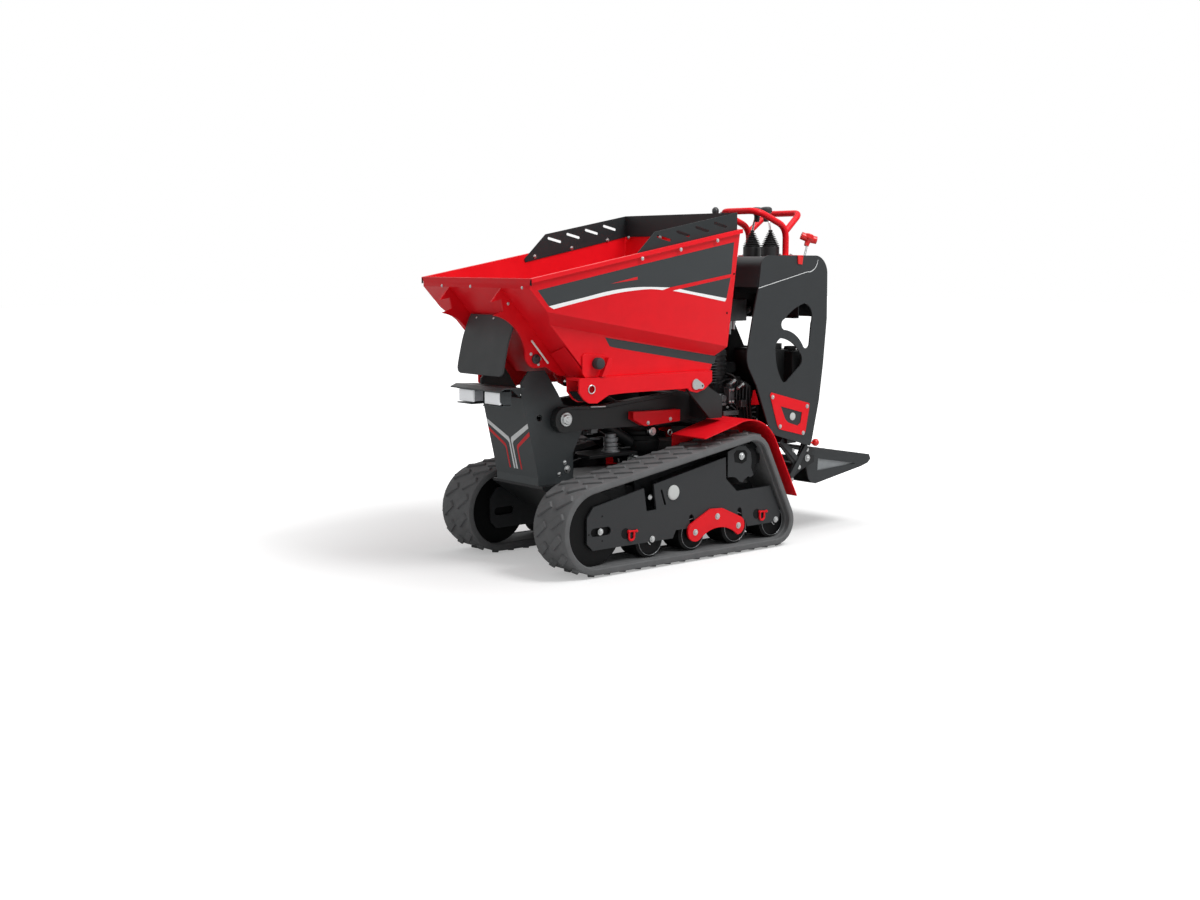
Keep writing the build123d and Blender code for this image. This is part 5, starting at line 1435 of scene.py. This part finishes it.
# ---------------------------------------------------------------- console
@dataclass(frozen=True)
class ConsoleDress:
    """Shell, handlebar, levers, knobs and trim of the console.

    Attributes:
        face: outer face of the side panels.
        trim: outer face of the red trims.
        inner: inner face of the side panels.
        dash: height of the dash.
        post: forward and left of the handlebar's posts.
        lever: forward and left of the levers.
    """

    face: float = 315.3
    trim: float = 317.6
    inner: float = 308.5
    dash: float = 1105
    post: Point = (-740, 103)
    lever: Point = (-706, 51)

    def build(self) -> None:
        """Make all the console's pieces."""
        self.shell()
        self.handlebar()
        self.levers()
        self.knobs()
        for sign, side_name in NAMED_SIDES:
            side_bolts(f"trim_bolts_{side_name}", "chassis", sign, self.trim,
                       ((-457, 572, 12), (-650, 525, 12), (-500, 456, 12), (-630, 422, 12)))
            badge = Shape(f"blank_badge_{side_name}")
            badge.lathe(at(-570, sign * self.face, 490), outward(sign), ((0, 15), (1.5, 15), (2, 13.5)), 28)
            badge.finish(PALE_CAP, "chassis", smooth=True)
            line = Shape(f"panel_pinstripe_{side_name}")
            line.slab([(-374, 985.5), (-640, 1045), *arc((-640, 1045), (-683, 1058), (-700, 1092), 6)[1:],
                       *arc((-698, 1092), (-681, 1060), (-640, 1047.5), 6), (-374, 988)],
                      sign * (self.face + 0.35), 0.3)
            line.finish(SILVER_FILM, "chassis")

    def shell(self) -> None:
        """Bend the dash and its front and rear aprons from one sheet that follows the panels' corners."""
        outer = [(-372, 990), *arc((-385, 1056), (-398, 1090), (-431, 1105)),
                 *arc((-690, 1105), (-733, 1082), (-750, 1042)), (-752, 870)]
        inner = [(-748, 870), *arc((-746, 1042), (-730, 1079), (-690, 1101)),
                 *arc((-431, 1101), (-401, 1087), (-389, 1056)), (-376, 990)]
        shape = Shape("console_shell")
        shape.prism([at(u, self.inner, z) for u, z in outer + inner], Vector((0, -2 * self.inner * MM, 0)))
        shape.finish(PANEL_COAT, "chassis", ("console_box",), smooth=True)
        apron = Shape("console_rear_apron")
        apron.box((-600, -self.inner, 868), (-580, self.inner, 872))
        apron.box((-604, -self.inner, 868), (-600, self.inner, 960))
        apron.finish(FRAME_COAT, "chassis", bevel_mm=0.8)

    def handlebar(self) -> None:
        """Bend the handlebar's hoop, its grab bar and their feet."""
        u, y = self.post
        bar = Shape("hand_hoop")
        top = 1284
        hoop = [at(u, y, self.dash), at(u, y, 1222), at(-577, y, top), at(-577, -y, top), at(u, -y, 1222),
                at(u, -y, self.dash)]
        bar.tube(bent(hoop, 46, 10), 13, 18)
        grab = [at(u, y, 1206), at(-832, 92, 1279), at(-832, -92, 1279), at(u, -y, 1206)]
        bar.tube(bent(grab, 32, 8), 12.5, 18)
        for sign in SIDES:
            bar.box((u - 22, sign * y - 40, self.dash + 0.3), (u + 22, sign * y + 40, self.dash + 6))
        bar.finish(RED_COAT, "chassis", ("handlebar",), smooth=True)
        Bolts("hoop_foot_bolts", "chassis", [(u, sign * y + side * 30, self.dash + 6, 12)
                                             for sign in SIDES for side in SIDES], (0, 0, 1)).build()

    def levers(self) -> None:
        """Make the ribbed boots, the chromed sticks and their knobs."""
        u, y = self.lever
        boots, sticks, knobs = Shape("ribbed_boots"), Shape("lever_sticks"), Shape("lever_knobs")
        profile = [(0, 35), (2, 36.5), (38, 36.5), (40, 35)]
        for k in range(8):
            base, wide = 41 + 7.0 * k, 35.5 - 3.3 * k
            profile += [(base + along, wide + more) for along, more in ((0, -6), (2, 2), (4.2, 2), (6.2, -8))]
        profile += [(98, 9), (106, 8)]
        mushroom = ((0, 8), (3, 11), (24, 12), (31, 17), (36, 24), (44, 26), (53, 24.5), (58, 18), (59.5, 8))
        for sign in SIDES:
            foot = at(u, sign * y, self.dash + 0.3)
            boots.lathe(foot, UP, profile, 32)
            start = foot + Vector((0, 0, 98 * MM))
            end = at(u, sign * (y - 24), 1272)
            bend = start.lerp(end, 0.55) + Vector((0, sign * 6 * MM, 0))
            sticks.tube(bent([start, bend, end], 14), 4.6, 14)
            knobs.lathe(at(u, sign * (y - 24), 1244), Vector((0, -sign * 0.08, 1)), mushroom, 28)
        boots.finish(BOOT_RUBBER, "chassis", ("lever_boots",), smooth=True)
        sticks.finish(CHROME, "chassis", ("levers",), smooth=True)
        knobs.finish(GLOSS_KNOB, "chassis", smooth=True)

    def knobs(self) -> None:
        """Make the wing knob on its screw, the red catch and the throttle."""
        wing = Shape("wing_knob")
        head = at(-663, 296, 1170)
        aim = Vector((-0.38, 0.05, 0.92)).normalized()
        wing.lathe(head - aim * 26 * MM, aim,
                   ((0, 9), (18, 11), (24, 16), (28, 20), (42, 21), (46, 17), (47, 8)), 24)
        side = Vector((0.8, -0.55, 0.3)).normalized()
        for sign in SIDES:
            wing.tube([head + aim * 4 * MM, head + aim * 7 * MM + side * sign * 31 * MM], 15, 14)
        wing.finish(RED_KNOB, "chassis", smooth=True)
        screw = Shape("wing_knob_screw")
        foot = at(-636, 302, 1104)
        run = (head - foot).length / MM
        turns = [(0, 3.4)]
        for k in range(int(run / 4)):
            turns += [(4 * k + 1, 3.4), (4 * k + 2, 4.6), (4 * k + 3, 3.4)]
        screw.lathe(foot, head - foot, turns, 12)
        screw.finish(ZINC, "chassis")
        catch = Shape("panel_catch")
        catch.slab([(-582, 1106), (-585, 1076), (-608, 1074), (-613, 1108)], self.face + 4, 4)
        catch.box((-612, 290, 1104), (-583, self.face + 4, 1110))
        catch.finish(RED_KNOB, "chassis", bevel_mm=1.2)
        throttle = Shape("throttle_knob")
        throttle.lathe(at(-545, -100, 1271), UP,
                       ((0, 8), (3, 12), (14, 14), (22, 13.5), (28, 9), (31, 4)), 24)
        throttle.finish(GLOSS_KNOB, "chassis", smooth=True)
        stalk = Shape("throttle_stalk")
        stalk.tube(bent([at(-560, -100, self.dash), at(-560, -100, 1180), at(-545, -100, 1276)], 40), 4.5, 12)
        stalk.lathe(at(-560, -100, self.dash + 0.3), UP, ((0, 24), (4, 24), (10, 16), (22, 9)), 24)
        stalk.tube([at(-579, -100, 1252), at(-579, -100, 1284)], 6, 12)
        stalk.finish(ZINC, "chassis", smooth=True)


# ---------------------------------------------------------------- platform
@dataclass(frozen=True)
class PlatformDress:
    """Bolts, links and inner sheets of the folding platform and its bracket.

    Attributes:
        cheek: distance of the platform's side plates from the middle plane.
        bracket: distance of the bracket's outer faces from the middle plane.
        studs: numbers of grip studs to the rear and across.
        first_stud: forward and left of the stud at the front right corner.
        stud_pitch: distances from stud to stud, to the rear and across.
        tread: forward and up of a place on the tread.
        tread_slope: fall of the tread towards the rear.
    """

    cheek: float = 270
    bracket: float = 290
    studs: tuple[int, int] = (9, 14)
    first_stud: Point = (-760, -245)
    stud_pitch: Point = (34, 37.7)
    tread: Point = (-720, 354)
    tread_slope: float = 0.1634

    def build(self) -> None:
        """Make the pieces of the platform and its bracket, and the release ball."""
        inner = Shape("platform_inner_sheet")
        for sign in SIDES:
            inner.slab([(-768, 307), (-1008, 266), (-1006, 261), (-768, 251)], sign * (self.cheek - 7), 2)
        inner.finish(BARE_SHEET, "platform")
        tread = Shape("platform_grip")
        for k in range(self.studs[0]):
            for j in range(self.studs[1]):
                u = self.first_stud[0] - self.stud_pitch[0] * k
                y = self.first_stud[1] + self.stud_pitch[1] * j
                z = self.tread[1] + (u - self.tread[0]) * self.tread_slope
                tread.lathe(at(u, y, z), Vector((-0.16, 0, 1)), ((0, 6), (1.2, 5), (1.6, 3)), 8)
        tread.finish(PANEL_COAT, "platform")
        for sign, side_name in NAMED_SIDES:
            side_bolts(f"bracket_bolts_{side_name}", "chassis", sign, self.bracket,
                       ((-603, 351, 13), (-685, 349, 12), (-686, 315, 20), (-640, 283, 13), (-601, 237, 12)))
            links = Shape(f"bracket_links_{side_name}")
            for (u0, z0), (u1, z1), y in (((-533, 399), (-639, 303), 293), ((-676, 365), (-590, 250), 297)):
                along = Vector((u1 - u0, z1 - z0)).normalized() * 11
                across = Vector((-along.y, along.x))
                links.slab([(u0 + across.x, z0 + across.y), (u0 - across.x, z0 - across.y),
                            (u1 - across.x, z1 - across.y), (u1 + across.x, z1 + across.y)], sign * y, 4)
            links.finish(PANEL_COAT, "chassis", bevel_mm=1.0)
        ball = Shape("release_ball")
        round_profile = [(15 - 15 * math.cos(t), max(0.5, 15 * math.sin(t)))
                         for t in (math.pi * k / 12 for k in range(13))]
        ball.lathe(at(-730, 276, 374), LEFT, round_profile, 24)
        ball.lathe(at(-690, 289, 374), Vector((-1, 0, 0)), ((0, 4), (30, 4)), 12)
        ball.finish(RED_KNOB, "chassis", smooth=True)


# ---------------------------------------------------------------- studio
@dataclass(frozen=True)
class Studio:
    """Floor, lamps, world and camera.

    Attributes:
        focal: the lens's focal length on a 36 mm sensor.
        stand: the camera's place in the shared frame.
        azimuth: direction of the view, from +Y towards -X, in degrees.
        pitch: downward tilt of the view, in degrees.
        floor_half: half the width of the floor, in metres.
        floor_grey: shade of the floor's matt paint.
        shade: distances from the machine at which the floor's painted glow starts and ends rising, in metres.
        near_painted_glow: strength of the painted glow that the camera sees on the floor under the machine.
        painted_floor_sheen: strength of a painted glow that only reflections see on the floor.
        fill: strength of the surround as a light.
        lamps: name, place, width and power of each softbox.
    """

    focal: float = 44.64
    stand: tuple[float, float, float] = (3.8244, 4.277, 1.094)
    azimuth: float = 140.6
    pitch: float = 7.3
    floor_half: float = 30
    floor_grey: float = 0.7
    shade: Point = (0.9, 2.6)
    near_painted_glow: float = 0.36
    painted_floor_sheen: float = 0.15
    fill: float = 0.42
    lamps: tuple[tuple[str, tuple[float, float, float], float, float], ...] = (
        ("top_softbox", (-0.4, 0.4, 4.4), 2.2, 40),
        ("side_softbox", (-0.7, 2.7, 4.0), 1.7, 128),
        ("front_softbox", (4.2, 0.8, 2.4), 1.6, 3))

    def build(self) -> None:
        """Set up the whole stage."""
        self.camera()
        self.floor()
        self.world()
        for name, place, size, power in self.lamps:
            self.lamp(name, place, size, power)
        bpy.context.scene.view_settings.view_transform = "Standard"

    def camera(self) -> None:
        """Place the camera."""
        data = bpy.data.cameras.new("view")
        data.lens = self.focal
        data.sensor_width = 36
        camera = bpy.data.objects.new("view", data)
        bpy.context.scene.collection.objects.link(camera)
        turn, tilt = math.radians(self.azimuth), math.radians(self.pitch)
        look = Vector((-math.sin(turn) * math.cos(tilt), math.cos(turn) * math.cos(tilt), -math.sin(tilt)))
        camera.location = self.stand
        camera.rotation_euler = look.to_track_quat("-Z", "Y").to_euler()
        bpy.context.scene.camera = camera

    def floor(self) -> None:
        """Lay a matt floor with painted light: a glow that the camera sees, weakest under the machine and
        rising to pure white away from it, and a faint glow that reflections see.
        """
        half = self.floor_half
        data = bpy.data.meshes.new("studio_floor")
        data.from_pydata([(-half, -half, 0), (half, -half, 0), (half, half, 0), (-half, half, 0)], [],
                         [(0, 1, 2, 3)])
        floor = bpy.data.objects.new("studio_floor", data)
        bpy.context.scene.collection.objects.link(floor)
        material = bpy.data.materials.new("matt_studio_floor_painted_glow")
        material.use_nodes = True
        tree = material.node_tree
        tree.nodes.clear()
        rays = add_node(tree, "ShaderNodeLightPath")
        place = add_node(tree, "ShaderNodeTexCoord").outputs["Object"]
        away = add_node(tree, "ShaderNodeVectorMath", {0: place}, operation="LENGTH")
        spread = add_node(tree, "ShaderNodeMapRange", {
            "Value": away.outputs["Value"], "From Min": self.shade[0], "From Max": self.shade[1],
            "To Min": self.near_painted_glow, "To Max": 1.0}, interpolation_type="SMOOTHSTEP")
        grey = self.floor_grey
        paint = add_node(tree, "ShaderNodeBsdfDiffuse", {"Color": (grey, grey, grey, 1)})
        # painted light: the camera's glow is weaker near the machine and full white far away; reflections see
        # a faint even glow
        seen = add_node(tree, "ShaderNodeMath", {
            0: rays.outputs["Is Camera Ray"], 1: spread.outputs["Result"]}, operation="MULTIPLY")
        sheen = add_node(tree, "ShaderNodeMath", {
            0: rays.outputs["Is Glossy Ray"], 1: self.painted_floor_sheen, 2: seen.outputs[0]},
            operation="MULTIPLY_ADD")
        lift = add_node(tree, "ShaderNodeEmission", {"Color": (1, 1, 1, 1), "Strength": sheen.outputs[0]})
        both = add_node(tree, "ShaderNodeAddShader", {0: paint.outputs[0], 1: lift.outputs[0]})
        add_node(tree, "ShaderNodeOutputMaterial", {"Surface": both.outputs[0]})
        data.materials.append(material)

    def world(self) -> None:
        """Set a white surround that the camera and reflections see, and a softer one that lights."""
        world = bpy.data.worlds.new("studio_world")
        bpy.context.scene.world = world
        world.use_nodes = True
        tree = world.node_tree
        tree.nodes.clear()
        rays = add_node(tree, "ShaderNodeLightPath")
        seen = add_node(tree, "ShaderNodeMath", {
            0: rays.outputs["Is Camera Ray"], 1: rays.outputs["Is Glossy Ray"]}, operation="MAXIMUM")
        clear = add_node(tree, "ShaderNodeMath", {
            0: seen.outputs[0], 1: rays.outputs["Is Transmission Ray"]}, operation="MAXIMUM")
        strength = add_node(tree, "ShaderNodeMapRange", {
            "Value": clear.outputs[0], "To Min": self.fill, "To Max": 1.0})
        back = add_node(tree, "ShaderNodeBackground", {
            "Color": (1, 1, 1, 1), "Strength": strength.outputs["Result"]})
        add_node(tree, "ShaderNodeOutputWorld", {"Surface": back.outputs[0]})

    @staticmethod
    def lamp(name: str, place: tuple[float, float, float], size: float, power: float) -> None:
        """Hang a square softbox that points at the middle of the machine.

        Args:
            name: the lamp's name.
            place: where it hangs.
            size: its width in metres.
            power: its power in watts.
        """
        data = bpy.data.lights.new(name, "AREA")
        data.size = size
        data.energy = power
        lamp = bpy.data.objects.new(name, data)
        bpy.context.scene.collection.objects.link(lamp)
        lamp.location = place
        lamp.rotation_euler = (Vector((0, 0, 0.6)) - Vector(place)).to_track_quat("-Z", "Y").to_euler()


def dress_nodes() -> None:
    """Give each frame node its finish."""
    for finish, names in NODE_FINISHES.items():
        for name in names:
            data = frame["nodes"][name].data
            data.materials.clear()
            data.materials.append(finish.build())
            LOG.info("%s in %s", name, finish.name)
    undressed = set(frame["nodes"]) - {name for names in NODE_FINISHES.values() for name in names}
    if undressed:
        raise SystemExit(f"no finish for {sorted(undressed)}")


def main() -> None:
    """Dress the machine and stage it."""
    logging.basicConfig(level=logging.INFO, format="%(message)s")
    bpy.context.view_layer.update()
    Studio().build()
    dress_nodes()
    for part in (SkipDress(), TrackDress(), TowerDress(), ArmDress(), EngineDress(), ConsoleDress(),
                 PlatformDress()):
        part.build()


if __name__ == "__main__":
    main()
